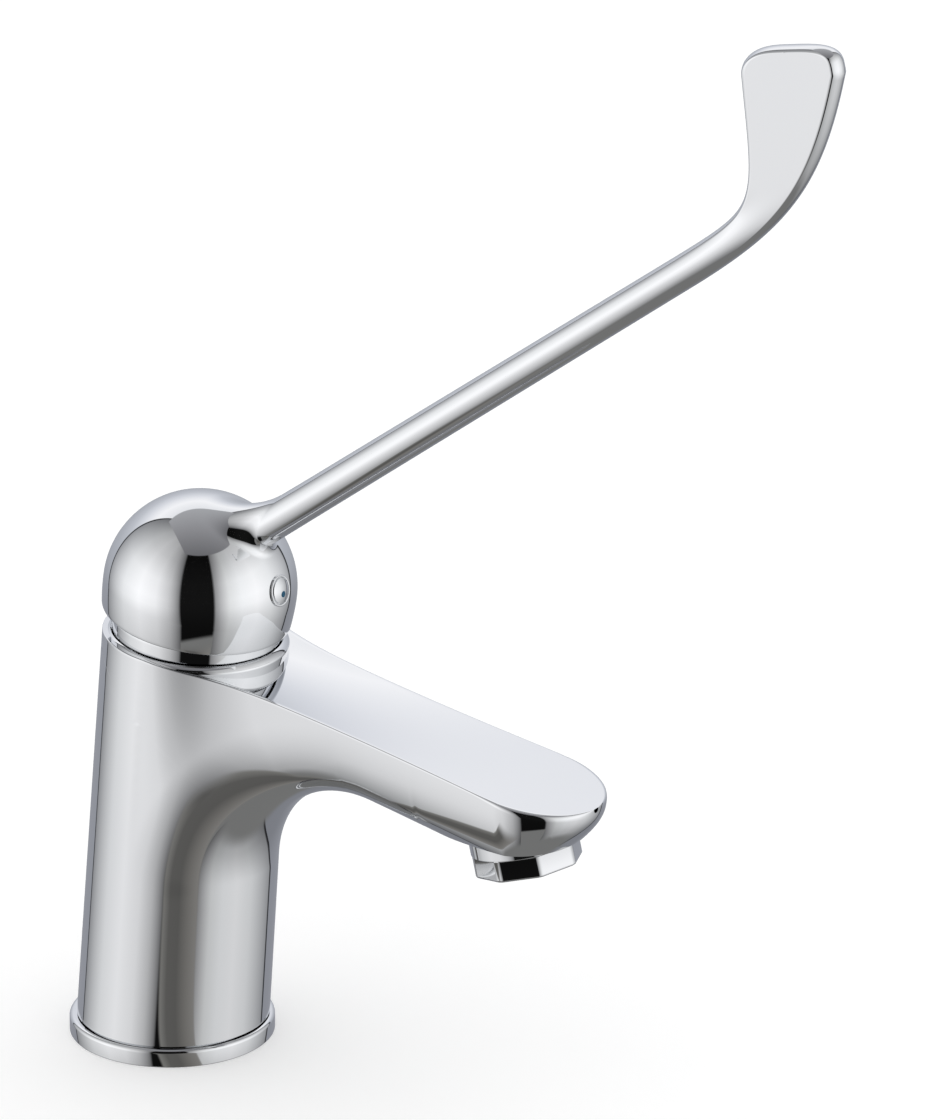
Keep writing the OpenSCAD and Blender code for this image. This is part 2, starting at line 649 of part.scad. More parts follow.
// Zinc casting, chromed: hollow dome with the boss for the spindle, rod and blade in one piece.
module dome_hollow() {
    difference() {
        at_dome() rotate_extrude() polygon(concat([[0, -dome_skirt - 1], [dome_in_r, -dome_skirt - 1]],
            arc_points([0, 0], dome_in_r, 0, 89, 14), [[0, dome_in_r]]));
        translate([0, 0, boss_foot]) cylinder(h = 60, r = boss_r);
        at_dome() rotate([0, 90 - plug_tilt, 0]) cylinder(h = 60, r = plug_r + 1.4);
    }
}
module lever_handle() {
    color(chrome) on_pivot() difference() {
        union() {
            at_dome() sphere(r = dome_r);
            loft(lever_rings);
        }
        translate([0, 0, dome_edge - 60]) cylinder(h = 60, r = 60);
        dome_hollow();
        translate([0, 0, socket_top / 2])
            cube([spindle_side + 2 * fit_gap, spindle_side + 2 * fit_gap, socket_top], center = true);
        at_dome() rotate([0, 90 - plug_tilt, 0]) {
            cylinder(h = 40, r = screw_r + fit_gap);
            translate([0, 0, screw_near + screw_len + 1]) cylinder(h = 40, r = plug_stem_r + fit_gap);
            translate([0, 0, plug_seat]) cylinder(h = 40, r = plug_r + fit_gap);
        }
    }
}

// Grub screw behind the plug that holds the handle on the spindle.
module set_screw() {
    color(steel) on_plug() translate([0, 0, screw_near + fit_gap]) difference() {
        cylinder(h = screw_len, r = screw_r);
        translate([0, 0, screw_len - key_depth]) cylinder(h = 4, r = key_r, $fn = 6);
    }
}

// Chromed plug over the screw: stem, rim and a domed button with a seat for the mark.
button_r = plug_r - 0.7;
button_rise = 0.9;
button_sphere_r = (button_r * button_r + button_rise * button_rise) / (2 * button_rise);
plug_face = dome_r - plug_r * plug_r / (2 * dome_r) + plug_proud;
module indicator_plug() {
    color(chrome) on_plug() difference() {
        union() {
            translate([0, 0, plug_seat - 5]) cylinder(h = 5 + eps, r = plug_stem_r);
            translate([0, 0, plug_seat]) cylinder(h = plug_face - plug_seat, r = plug_r);
            intersection() {
                translate([0, 0, plug_face + button_rise - button_sphere_r]) sphere(r = button_sphere_r);
                translate([0, 0, plug_face - 1]) cylinder(h = 5, r = button_r);
            }
        }
        translate([dot_drop, 0, plug_face]) cylinder(h = 5, r = dot_r + fit_gap / 2);
    }
}

// Blue enamel mark set in the plug.
module indicator_dot() {
    color(blue_enamel) on_plug() translate([dot_drop, 0, plug_face]) cylinder(h = button_rise, r = dot_r);
}

// Chromed aerator shell with a threaded top, spanner flats below and a lip that keeps the insert.
module aerator_shell() {
    color(chrome) on_outlet() difference() {
        rotate_extrude() polygon([
            [shell_in_r - keeper_w, -aerator_show], [aerator_r - shell_bevel, -aerator_show],
            [aerator_r, -aerator_show + shell_bevel], [aerator_r, shell_sink], [thread_r, shell_sink],
            [thread_r, aerator_thread], [shell_in_r, aerator_thread], [shell_in_r, insert_foot],
            [shell_in_r - keeper_w, insert_foot]]);
        for (k = [0 : flats - 1]) rotate((k + 0.5) * 360 / flats)
            translate([flat_r, -aerator_r, -aerator_show - 1]) cube([aerator_r, 2 * aerator_r, flats_h + 1]);
    }
}

// Plastic flow straightener with rings of jets.
module aerator_insert() {
    color(white_plastic) on_outlet() difference() {
        translate([0, 0, insert_foot]) cylinder(h = insert_top - insert_foot, r = insert_r);
        for (row = [[0, 1], [3, 6], [6, 12]], k = [0 : row[1] - 1]) rotate(360 * k / row[1])
            translate([row[0], 0, insert_foot - 1]) cylinder(h = 40, r = jet_r, $fn = 16);
    }
}

// Steel strainer on top of the insert.
module aerator_screen() {
    color(steel) on_outlet() difference() {
        translate([0, 0, insert_top]) cylinder(h = aerator_thread - insert_top, r = insert_r);
        for (row = [[0, 1], [2.6, 6], [5.2, 12], [7.6, 18]], k = [0 : row[1] - 1]) rotate(360 * k / row[1])
            translate([row[0], 0, insert_top - 1]) cylinder(h = 40, r = mesh_r, $fn = 16);
    }
}

// Rubber washer between the shell's top and the spout's seat.
module aerator_gasket() {
    color(black_rubber) on_outlet() translate([0, 0, aerator_thread])
        ring(thread_r - washer_w, thread_r, washer_t);
}

spout_body();
base_ring();
base_gasket();
cartridge_base();
port_seals();
fixed_disc();
moving_disc();
disc_carrier();
cartridge_housing();
turret_guide();
pivot_pin();
spindle();
cartridge_nut();
hood();
hood_ring();
lever_handle();
set_screw();
indicator_plug();
indicator_dot();
aerator_shell();
aerator_insert();
aerator_screen();
aerator_gasket();
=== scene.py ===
"""Looks of the elbow lever tap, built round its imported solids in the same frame, in metres."""
import math

import bmesh
import bpy
import numpy as np
from mathutils import Matrix, Vector


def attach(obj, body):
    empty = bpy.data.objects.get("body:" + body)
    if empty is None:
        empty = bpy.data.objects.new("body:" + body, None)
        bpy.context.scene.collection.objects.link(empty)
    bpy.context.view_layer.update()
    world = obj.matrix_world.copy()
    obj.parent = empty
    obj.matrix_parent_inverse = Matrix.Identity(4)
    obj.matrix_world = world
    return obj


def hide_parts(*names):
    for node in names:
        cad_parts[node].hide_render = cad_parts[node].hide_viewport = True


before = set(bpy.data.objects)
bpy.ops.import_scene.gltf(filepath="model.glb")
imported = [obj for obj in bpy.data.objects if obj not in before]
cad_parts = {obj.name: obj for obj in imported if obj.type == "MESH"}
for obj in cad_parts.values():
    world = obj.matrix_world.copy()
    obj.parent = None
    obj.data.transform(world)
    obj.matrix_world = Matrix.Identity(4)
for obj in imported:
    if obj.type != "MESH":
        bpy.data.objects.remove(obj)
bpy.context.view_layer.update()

# ------------------------------------------------------------------ base ring
# The ring that stands on the deck: turned from brass bar, polished and chromed.
# The body sits on its raised seat, which leaves a fine dark seam above the flange.
MM = 0.001
BASE_R, BASE_T, RING_BORE_R = 24.5, 4.4, 16.4
FLANGE_ROUND, FOOT_ROUND = 1.0, 0.25
SEAT_R, SEAT_Z = 22.0, 4.8
SPIGOT_R, SPIGOT_TOP = 18.1, 7.8
GROOVE_IN, GROOVE_OUT, GROOVE_DEEP = 20.6, 23.2, 1.8
LATHE_STEPS, WELD_M, SHARP_ANGLE = 192, 2e-7, 38


def linear_colour(text):
    """An sRGB hex value as linear RGBA."""
    parts = [int(text[i:i + 2], 16) / 255 for i in (1, 3, 5)]
    return [c / 12.92 if c <= 0.04045 else ((c + 0.055) / 1.055) ** 2.4 for c in parts] + [1.0]


def add_node(tree, kind, values=None, links=None, stops=(), **settings):
    """One node with its settings, its input values, its links and, on a colour ramp, its stops."""
    node = tree.nodes.new(kind)
    for name, value in settings.items():
        setattr(node, name, value)
    for socket, value in (values or {}).items():
        node.inputs[socket].default_value = value
    for socket, source in (links or {}).items():
        tree.links.new(source, node.inputs[socket])
    # A new ramp has two stops already.
    for _ in stops[2:]:
        node.color_ramp.elements.new(0.5)
    for i, (position, colour) in enumerate(stops):
        node.color_ramp.elements[i].position = position
        node.color_ramp.elements[i].color = linear_colour(colour)
    return node


def new_material(name):
    """An empty node material and its tree with object coordinates in metres."""
    material = bpy.data.materials.new(name)
    material.use_nodes = True
    material.node_tree.nodes.clear()
    place = add_node(material.node_tree, "ShaderNodeTexCoord").outputs["Object"]
    return material, material.node_tree, place


def new_piece(name, points, faces, material, sharp_angle=SHARP_ANGLE):
    """A smooth mesh from points in millimetres, with its coincident points welded."""
    mesh = bpy.data.meshes.new(name)
    mesh.from_pydata((np.asarray(points) * MM).tolist(), [], faces)
    shape = bmesh.new()
    shape.from_mesh(mesh)
    bmesh.ops.remove_doubles(shape, verts=shape.verts, dist=WELD_M)
    bmesh.ops.recalc_face_normals(shape, faces=shape.faces)
    shape.to_mesh(mesh)
    shape.free()
    mesh.shade_smooth()
    mesh.set_sharp_from_angle(angle=math.radians(sharp_angle))
    mesh.materials.append(material)
    piece = bpy.data.objects.new(name, mesh)
    bpy.context.scene.collection.objects.link(piece)
    return piece


def grid_faces(rows, cols, closed=True):
    """Quads between rows of points that follow each other, closed round or open."""
    last = cols if closed else cols - 1
    return [(i * cols + k, i * cols + (k + 1) % cols, (i + 1) * cols + (k + 1) % cols, (i + 1) * cols + k)
            for i in range(rows - 1) for k in range(last)]


def lathe(profile, steps=LATHE_STEPS):
    """Points and faces of rows of (radius, height) turned about Z. A radius may vary round the turn."""
    turn = np.linspace(0, 2 * np.pi, steps, endpoint=False)
    points = [np.stack([r * np.cos(turn), r * np.sin(turn), np.full(steps, float(h))], -1)
              for r, h in profile]
    return np.concatenate(points), grid_faces(len(profile), steps)


def arc(centre, radius, start, end, steps):
    """Points on an arc, angles in degrees."""
    a = np.radians(np.linspace(start, end, steps + 1))
    return [(centre[0] + radius * math.cos(t), centre[1] + radius * math.sin(t)) for t in a]


# Chromium plate on polished brass: a cold, nearly neutral mirror. Buffing leaves a haze that shows
# only as a slightly softer reflection; its 2 mm cloudiness is coarser than the real one, to show.
CHROME_HAZE_MM, CHROME_CLEAR, CHROME_HAZY = 2.0, 0.012, 0.045
CHROME_TINT_MM = 45.0
chrome, tree, place = new_material("polished_chrome_plate")
haze = add_node(tree, "ShaderNodeTexNoise", {"Scale": 1 / (CHROME_HAZE_MM * MM), "Detail": 4.0},
                {"Vector": place})
softness = add_node(tree, "ShaderNodeMapRange", {"To Min": CHROME_CLEAR, "To Max": CHROME_HAZY},
                    {"Value": haze.outputs["Fac"]})
drift = add_node(tree, "ShaderNodeTexNoise", {"Scale": 1 / (CHROME_TINT_MM * MM), "Detail": 1.0},
                 {"Vector": place})
tint = add_node(tree, "ShaderNodeMix", {6: linear_colour("#e3e4e6"), 7: linear_colour("#e7e8e9")},
                {0: drift.outputs["Fac"]}, data_type="RGBA")
plate = add_node(tree, "ShaderNodeBsdfPrincipled", {"Metallic": 1.0},
                 {"Base Color": tint.outputs[2], "Roughness": softness.outputs["Result"]})
add_node(tree, "ShaderNodeOutputMaterial", links={"Surface": plate.outputs["BSDF"]})

ring_profile = (
    [(RING_BORE_R, 0), (GROOVE_IN, 0), (GROOVE_IN, GROOVE_DEEP), (GROOVE_OUT, GROOVE_DEEP), (GROOVE_OUT, 0)]
    + arc((BASE_R - FOOT_ROUND, FOOT_ROUND), FOOT_ROUND, -90, 0, 4)
    + arc((BASE_R - FLANGE_ROUND, BASE_T - FLANGE_ROUND), FLANGE_ROUND, 0, 90, 14)
    + [(SEAT_R, BASE_T), (SEAT_R, SEAT_Z), (SPIGOT_R, SEAT_Z), (SPIGOT_R, SPIGOT_TOP),
       (RING_BORE_R, SPIGOT_TOP), (RING_BORE_R, 0)])
base_ring = new_piece("base_ring_chromed", *lathe(ring_profile), chrome)
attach(base_ring, "tap_body")
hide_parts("base_ring")

# ------------------------------------------------------------------ spout body
# One brass casting, ground, polished and chromed: the leaning column, the spout that sweeps out of it
# with a nearly flat top face between two crisp edges, and the neck with its sloping lip under the handle.
LEAN, SPOUT_DROP = math.radians(4.7), math.radians(10.6)
COLUMN_R, RIM_R, RIM_H, CREASE_DROP = 23.0, 22.2, 103.3, 0.35
LIP_HEIGHT, LIP_IN, LIP_BORE_R, LIP_CHAMFER = 2.5, 0.3, 20.25, 0.1
LIP_SLOPE, LIP_BULGE, LIP_TURN = 1.2, 0.1, 0.7
LIP_TURN_IN, LIP_TURN_DOWN, LIP_TURN_LAG = 0.3, 0.6, 10
LEDGE_H, LEDGE_IN_R = 100.6, 17.0
NECK_FOOT_R, NECK_H, NECK_SINK, NECK_SINK_IN = 19.8, 13.0, 5.0, 0.9
REACH, SPOUT_WAIST, SPOUT_TIP_W, SPOUT_DEPTH = 98.6, 30.2, 33.4, 20.0
SWEEP_R, KEEL_SLOPE, FULLNESS = 30.0, 0.022, 2.6
ROOT_RUN, FLANK_ANGLE = 17.0, math.radians(72)
TIP_CENTRE_X, WAIST_X = REACH + 3.0, RIM_R + 28.0
TUCK_X, TUCK_SLOPE = TIP_CENTRE_X + 1.4, 0.75
OUTLET_DEPTH, FACE_TILT = 14.1, math.radians(3.0)
OUTLET_RAMP, RAMP_END_X, FLAT_START_X = 0.45, REACH - 19.2, REACH - 22.0
DISH_DEPTH, DISH_EDGE = 1.6, 0.8
CREASE_ROUND, TIP_ROUND, TIP_ROUND_RUN, CREASE_LAND = 0.35, 1.3, 16.0, 0.25
FOOT_Z, HOLLOW_R, HOLLOW_TOP = 4.8, 18.4, 20.8
WEB_BORES = [((4.4, 8.4), 4.5, 12.0), ((4.4, -8.4), 4.5, 12.0), ((-8.6, 0.0), 3.4, 14.0)]
POLE_R = 0.001

LIP_H, CREASE_H = RIM_H - LIP_HEIGHT, RIM_H - CREASE_DROP
TOP_Z = CREASE_H * (math.cos(LEAN) + math.sin(LEAN) * math.tan(SPOUT_DROP))
ROOT_X = CREASE_H * math.sin(LEAN)
TIP_X = TIP_CENTRE_X + SPOUT_TIP_W / 2
DISH_START_X, DISH_FULL_X, DISH_END_X = ROOT_X - 4.0, RIM_R + 6.0, TIP_CENTRE_X - 4.0
COLUMN_TAPER = (COLUMN_R - RIM_R) / LIP_H


def mix(a, b, t):
    return a + (b - a) * t


def unit(t):
    return np.clip(t, 0.0, 1.0)


def ease(t):
    t = unit(t)
    return t * t * (3 - 2 * t)


def spout_top(x):
    return TOP_Z - x * math.tan(SPOUT_DROP)


# The sweep's arc touches the column's front line and the keel line.
KEEL_DROP, KEEL_TILT = SPOUT_DEPTH / math.cos(SPOUT_DROP), math.atan(math.tan(SPOUT_DROP) + KEEL_SLOPE)
KEEL_Z0 = TOP_Z - KEEL_DROP + KEEL_SLOPE * REACH
FRONT_SLOPE = math.sin(LEAN) - COLUMN_TAPER * math.cos(LEAN)
SWEEP_X = ((COLUMN_R + SWEEP_R + (KEEL_Z0 - SWEEP_R / math.cos(KEEL_TILT)) * FRONT_SLOPE)
           / (math.cos(LEAN) + COLUMN_TAPER * math.sin(LEAN) + math.tan(KEEL_TILT) * FRONT_SLOPE))
SWEEP_Z = KEEL_Z0 - SWEEP_X * math.tan(KEEL_TILT) - SWEEP_R / math.cos(KEEL_TILT)
SWEEP_END_X = SWEEP_X + SWEEP_R * math.sin(KEEL_TILT)
SWEEP_DEPTH = spout_top(SWEEP_X) - SWEEP_Z - SWEEP_R
OUTLET_Z = spout_top(REACH) - OUTLET_DEPTH


def half_width(x):
    """Half of the spout's width: wide at the column, narrow at the waist, a little wider at the tip."""
    waist = mix(SPOUT_WAIST, SPOUT_TIP_W, unit((x - WAIST_X) / (TIP_CENTRE_X - WAIST_X)) ** 2) / 2
    return waist + (RIM_R - SPOUT_WAIST / 2) * (1 + (np.maximum(0, x - ROOT_X) / ROOT_RUN) ** 2) ** -1.5


def keel_z(x):
    """Height of the spout's lowest line: the sweep's arc, then a slope that tucks up at the tip."""
    front = (spout_top(x) - KEEL_DROP + KEEL_SLOPE * np.maximum(0, REACH - x)
             + TUCK_SLOPE * np.maximum(0, x - TUCK_X))
    sweep = SWEEP_Z + np.sqrt(np.maximum(0, SWEEP_R ** 2 - (x - SWEEP_X) ** 2))
    return np.where(x > SWEEP_END_X, front, sweep)


def inner_line(a):
    """The sweep's inner line from its centre: the arc, and the column's front line below it."""
    return SWEEP_R / np.where(a < LEAN, np.cos(a - LEAN) - COLUMN_TAPER * np.sin(a - LEAN), 1.0)


def rounded(side, deep, n):
    return (side ** n + deep ** n) ** (1 / n) - 1


def casting_field(p):
    """Negative inside the casting: column below, sections that turn with the sweep, then the hull."""
    x, y, z = p[..., 0], p[..., 1], p[..., 2]
    r = COLUMN_R - COLUMN_TAPER * (x * math.sin(LEAN) + z * math.cos(LEAN))
    u = x * math.cos(LEAN) - z * math.sin(LEAN)
    column = np.hypot(u, y) - r
    a = np.arctan2(z - SWEEP_Z, SWEEP_X - x)
    t = ease(a / (math.pi / 2))
    w = half_width(x)
    flank = mix(r, w * mix(r / RIM_R, 1, t), ease(a / FLANK_ANGLE))
    deep = np.maximum(0, 1 - (np.hypot(SWEEP_X - x, z - SWEEP_Z) - inner_line(a))
                      / mix(r / math.cos(LEAN), SWEEP_DEPTH, t))
    side = np.where(u < 0, np.hypot(u, y) / r, np.abs(y) / flank)
    swept = rounded(side, deep, mix(2, FULLNESS, t)) * flank
    top = spout_top(x)
    hull = rounded(np.hypot(y, np.maximum(0, x - TIP_CENTRE_X)) / w,
                   np.maximum(0, top - z) / (top - keel_z(x)), FULLNESS) * w
    return np.where(z < SWEEP_Z, column, np.where(x > SWEEP_X, hull, swept))


def halve(centre, direction, reach=130.0, turns=40):
    """Where rays from inner points leave the casting, closed in by halving."""
    low, high = np.zeros(direction.shape[:-1]), np.full(direction.shape[:-1], reach)
    for _ in range(turns):
        middle = (low + high) / 2
        outside = casting_field(centre + direction * middle[..., None]) > 0
        high, low = np.where(outside, middle, high), np.where(outside, low, middle)
    return centre + direction * ((low + high) / 2)[..., None]


# Section planes rise up the column, fan round the sweep's centre and march to the tip. The fan is
# crowded just past the rim's rear point, where the crease starts.
COLUMN_ROWS, FAN_ROWS, CREASE_ROWS, SPOUT_ROWS = 12, 34, 60, 100
FAN_GAP, FAN_CROWDING = 0.004, 1.6
FAN_HUB, SPOUT_HUB, TIP_GAP = SPOUT_DEPTH * 0.5, SPOUT_DEPTH * 0.45, 0.002
rear_u = -mix(COLUMN_R, RIM_R, CREASE_H / LIP_H)
rear_x = rear_u * math.cos(LEAN) + CREASE_H * math.sin(LEAN)
rear_z = -rear_u * math.sin(LEAN) + CREASE_H * math.cos(LEAN)
rear_angle = math.atan2(rear_z - SWEEP_Z, SWEEP_X - rear_x)
past_rear = (math.pi / 2 - rear_angle) * np.linspace(FAN_GAP, 1, CREASE_ROWS) ** FAN_CROWDING
centres, heights = [], []
for z in np.linspace(FOOT_Z, SWEEP_Z, COLUMN_ROWS, endpoint=False):
    centres.append((z * math.tan(LEAN), 0, z))
    heights.append((-1, 0, 0))
for a in np.concatenate([np.linspace(0, rear_angle, FAN_ROWS, endpoint=False), rear_angle + past_rear]):
    q = SWEEP_R + mix(COLUMN_R, FAN_HUB, a / (math.pi / 2))
    centres.append((SWEEP_X - q * math.cos(a), 0, SWEEP_Z + q * math.sin(a)))
    heights.append((-math.cos(a), 0, math.sin(a)))
for s in np.linspace(0, 1, SPOUT_ROWS + 1)[1:]:
    x = mix(SWEEP_X, TIP_X - TIP_GAP, math.sin(s * math.pi / 2))
    e = max(0, x - TIP_CENTRE_X) / (SPOUT_TIP_W / 2)
    centres.append((x, 0, spout_top(x) - SPOUT_HUB * (1 - e * e)))
    heights.append((0, 0, 1))

WALL_COLS, FLAT_COLS, ROUND_COLS, TOP_COLS = 84, 22, 4, 26
WALL_RAYS, KEEL_RAYS, TOP_CROWDING, MOST_SKIPPED = 500, 120, 1.35, 0.2
KEEL_SPAN, KEEL_SPAN_RUN = (0.6, 35), 15
FAR, LONGEST_CUT, WIDEST = 1e6, 200, 40.0
UNDER_NECK, UNDER_NECK_FROM, UNDER_NECK_RUN = 2.1, 4, 6
across = np.array([0.0, 1.0, 0.0])


def even_points(path, count, start=0.0):
    """A path's points moved to even steps along its length, from a given length on."""
    length = np.concatenate([[0], np.cumsum(np.linalg.norm(np.diff(path, axis=0), axis=1))])
    stops = np.linspace(min(start, MOST_SKIPPED * length[-1]), length[-1], count)
    return np.stack([np.interp(stops, length, path[:, i]) for i in range(3)], -1)


def section_points(centre, height, start, end, count):
    """Where rays fanned out in a section plane, between two angles, leave the casting."""
    angles = np.linspace(start, end, count)
    return halve(centre, np.cos(angles)[:, None] * across + np.sin(angles)[:, None] * height)


def top_cuts(centre, height):
    """Distances along a section's height to the top face's plane and to the rim's plane."""
    slope = math.tan(SPOUT_DROP)
    to_top = ((TOP_Z - centre[2]) - centre[0] * slope) / (height[2] + height[0] * slope)
    rise = height[0] * math.sin(LEAN) + height[2] * math.cos(LEAN)
    below_rim = CREASE_H - centre[0] * math.sin(LEAN) - centre[2] * math.cos(LEAN)
    return to_top, below_rim / rise if rise > 0 else FAR


def outlet_plane(x):
    """Height of the flat outlet face, with a short ramp where it starts under the spout."""
    return OUTLET_Z + (x - REACH) * math.tan(FACE_TILT) - OUTLET_RAMP * np.maximum(0, RAMP_END_X - x)


def dish_top(x, y):
    """Height of the top face: a plane at the back, then a shallow dish that runs out at the tip."""
    w = float(half_width(np.float64(x))) - DISH_EDGE
    run = unit((x - DISH_FULL_X) / (DISH_END_X - DISH_FULL_X))
    sag = DISH_DEPTH * (1 - run) ** 2
    return spout_top(x) - sag * np.maximum(0, 1 - (y / w) ** 2)


skin_rows, top_rows = [], []
for centre, height in zip(np.array(centres), np.array(heights, float)):
    # Where a section is open at the top, its wall starts at the crease.
    top_cut, rim_cut = top_cuts(centre, height)
    cut = min(c if c > 0 else FAR for c in (top_cut, rim_cut))
    edge = centre + height * cut
    is_open = cut < LONGEST_CUT and casting_field(edge) < 0
    if is_open:
        crease_y = halve(edge, across, WIDEST)[1]
    start = math.atan2(cut, crease_y) if is_open else math.pi / 2
    # The flat outlet face takes the same columns in every section; elsewhere they cover the keel.
    flat_mid = np.array([centre[0], 0, float(outlet_plane(centre[0]))])
    is_upright = height[2] == 1
    has_flat = is_upright and centre[0] > FLAT_START_X and casting_field(flat_mid) < 0
    if has_flat:
        corner_y = halve(flat_mid, across, WIDEST)[1]
        corner = math.atan2(flat_mid[2] - centre[2], corner_y)
        flat = flat_mid + np.linspace(corner_y, 0, FLAT_COLS)[:, None] * across
    else:
        before_flat = unit((FLAT_START_X - centre[0]) / KEEL_SPAN_RUN) if is_upright else 1.0
        corner = -math.pi / 2 + math.radians(mix(*KEEL_SPAN, before_flat))
        flat = even_points(section_points(centre, height, corner, -math.pi / 2, KEEL_RAYS), FLAT_COLS)
    wall = section_points(centre, height, start, corner, WALL_RAYS)
    if has_flat:
        wall[-1] = flat[0]
    if is_open:
        # The crease is rounded from the wall to the top face, which ends at the lip or under the neck.
        wall[0] = edge + across * crease_y
        x = edge[0]
        edge_round = mix(CREASE_ROUND, TIP_ROUND, ease((x - TIP_CENTRE_X) / TIP_ROUND_RUN + 0.5))
        land = min(edge_round, CREASE_LAND * crease_y)
        lower = even_points(wall, WALL_COLS, edge_round)
        u = x * math.cos(LEAN) - edge[2] * math.sin(LEAN)
        end_r = LIP_BORE_R - UNDER_NECK * unit((u - UNDER_NECK_FROM) / UNDER_NECK_RUN)
        end_y = math.sqrt(max(0, end_r ** 2 - u ** 2))
        y = mix(max(crease_y - land, end_y), end_y, np.linspace(0, 1, TOP_COLS) ** TOP_CROWDING)
        is_dished = x > DISH_START_X and top_cut <= rim_cut
        z = dish_top(x, y) if is_dished else np.full(TOP_COLS, edge[2])
        top = np.stack([np.full(TOP_COLS, x), y, z], -1)
        t = np.linspace(0, 1, ROUND_COLS + 2)[1:-1, None]
        bend = top[0] * (1 - t) ** 2 + wall[0] * 2 * t * (1 - t) + lower[0] * t ** 2
        skin_rows.append(np.concatenate([top[:1], bend, lower, flat[1:]]))
        top_rows.append(top[::-1])
    else:
        lower = even_points(wall, WALL_COLS)
        head = np.repeat(lower[:1], ROUND_COLS + 1, axis=0)
        skin_rows.append(np.concatenate([head, lower, flat[1:]]))

# The hollow under the column, and the web over it with the two inlets and the stud's bore.
HOLLOW_STEPS, BORE_STEPS = 120, 48
foot = skin_rows[0]
foot_angle = np.arctan2(foot[:, 1], foot[:, 0])
hollow = np.stack([HOLLOW_R * np.cos(foot_angle), HOLLOW_R * np.sin(foot_angle),
                   np.full(len(foot), FOOT_Z)], -1)
roof = hollow + np.array([0, 0, HOLLOW_TOP - FOOT_Z])
skin, top = np.array([roof, hollow] + skin_rows), np.array(top_rows)
mirror = np.array([1.0, -1.0, 1.0])
casting_points, casting_faces = [], []


def join(points, faces):
    """Add a sheet to the casting's mesh."""
    start = sum(len(p) for p in casting_points)
    casting_points.append(np.asarray(points))
    casting_faces.extend([tuple(start + i for i in f) for f in faces])


for sheet in (skin, skin * mirror, top, top * mirror):
    join(sheet.reshape(-1, 3), grid_faces(sheet.shape[0], sheet.shape[1], closed=False))

web = bmesh.new()
web_loops = [((0.0, 0.0), HOLLOW_R, HOLLOW_STEPS)] + [(c, r, BORE_STEPS) for c, r, _ in WEB_BORES]
for (cx, cy), r, steps in web_loops:
    turn = np.linspace(0, 2 * np.pi, steps, endpoint=False)
    loop = [web.verts.new((cx + r * math.cos(t), cy + r * math.sin(t), HOLLOW_TOP)) for t in turn]
    for i, v in enumerate(loop):
        web.edges.new((v, loop[(i + 1) % steps]))
bmesh.ops.triangle_fill(web, use_beauty=True, edges=web.edges[:])
web.verts.index_update()
join([v.co[:] for v in web.verts], [tuple(v.index for v in f.verts) for f in web.faces])
web.free()
for (cx, cy), r, depth in WEB_BORES:
    points, faces = lathe([(r, 0), (r, depth), (POLE_R, depth)], BORE_STEPS)
    join(points + np.array([cx, cy, HOLLOW_TOP]), faces)


def turned(points, angle):
    """Points turned about Y, positive from +Z towards +X, angle in radians."""
    c, s = math.cos(angle), math.sin(angle)
    p = np.asarray(points, float)
    return np.stack([p[:, 0] * c + p[:, 2] * s, p[:, 1], p[:, 2] * c - p[:, 0] * s], -1)


# The neck: a lip that slopes outwards and turns under, over a wall that narrows down to the top face.
LIP_ROWS, LIP_TURN_ROWS, NECK_STEPS = 12, 12, 256
lip_top = np.array([LIP_BORE_R + LIP_CHAMFER, RIM_H])
lip_low = np.array([RIM_R - LIP_IN - LIP_TURN * LIP_TURN_IN, RIM_H - LIP_SLOPE])
lip_out = np.array([lip_top[1] - lip_low[1], lip_low[0] - lip_top[0]]) / np.linalg.norm(lip_low - lip_top)
lip_slope = [tuple(mix(lip_top, lip_low, t) + lip_out * LIP_BULGE * 4 * t * (1 - t))
             for t in np.linspace(0, 1, LIP_ROWS + 1)]
turn_centre = (RIM_R - LIP_IN - LIP_TURN, lip_low[1] - LIP_TURN * LIP_TURN_DOWN)
turn_start = math.degrees(math.atan2(lip_out[1], lip_out[0])) - LIP_TURN_LAG
neck_slope = math.degrees(math.atan((RIM_R - LIP_IN - NECK_FOOT_R) / (NECK_H - LIP_HEIGHT)))
neck_profile = (
    [(LEDGE_IN_R, LEDGE_H), (LIP_BORE_R, LEDGE_H), (LIP_BORE_R, RIM_H - LIP_CHAMFER)] + lip_slope
    + arc(turn_centre, LIP_TURN, turn_start, -neck_slope, LIP_TURN_ROWS)
    + [(NECK_FOOT_R, RIM_H - NECK_H), (NECK_FOOT_R - NECK_SINK_IN, RIM_H - NECK_H - NECK_SINK)])
points, faces = lathe(neck_profile, NECK_STEPS)
join(turned(points, LEAN), faces)

spout_body = new_piece("spout_casting_chromed", np.concatenate(casting_points), casting_faces, chrome)
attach(spout_body, "tap_body")
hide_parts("spout_body")

# ------------------------------------------------------------------ hood
# A thin brass cap, spun, polished and chromed, that hides the cartridge's nut.
# It stands on the ledge inside the lip and is gripped by a rubber ring on the nut.
HOOD_R, HOOD_TOP, HOOD_ROUND, HOOD_WALL, HOOD_BORE_R, HOOD_CHAMFER = 19.95, 109.7, 3.6, 1.4, 12.4, 0.2
hood_centre = (HOOD_R - HOOD_ROUND, HOOD_TOP - HOOD_ROUND)
hood_profile = (
    [(HOOD_R - HOOD_WALL, LEDGE_H), (HOOD_R - HOOD_CHAMFER, LEDGE_H), (HOOD_R, LEDGE_H + HOOD_CHAMFER)]
    + arc(hood_centre, HOOD_ROUND, 0, 90, 20)
    + [(HOOD_BORE_R, HOOD_TOP), (HOOD_BORE_R, HOOD_TOP - HOOD_WALL)]
    + arc(hood_centre, HOOD_ROUND - HOOD_WALL, 90, 0, 10)
    + [(HOOD_R - HOOD_WALL, LEDGE_H)])
points, faces = lathe(hood_profile)
hood = new_piece("hood_chromed", turned(points, LEAN), faces, chrome)
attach(hood, "tap_body")
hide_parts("hood")

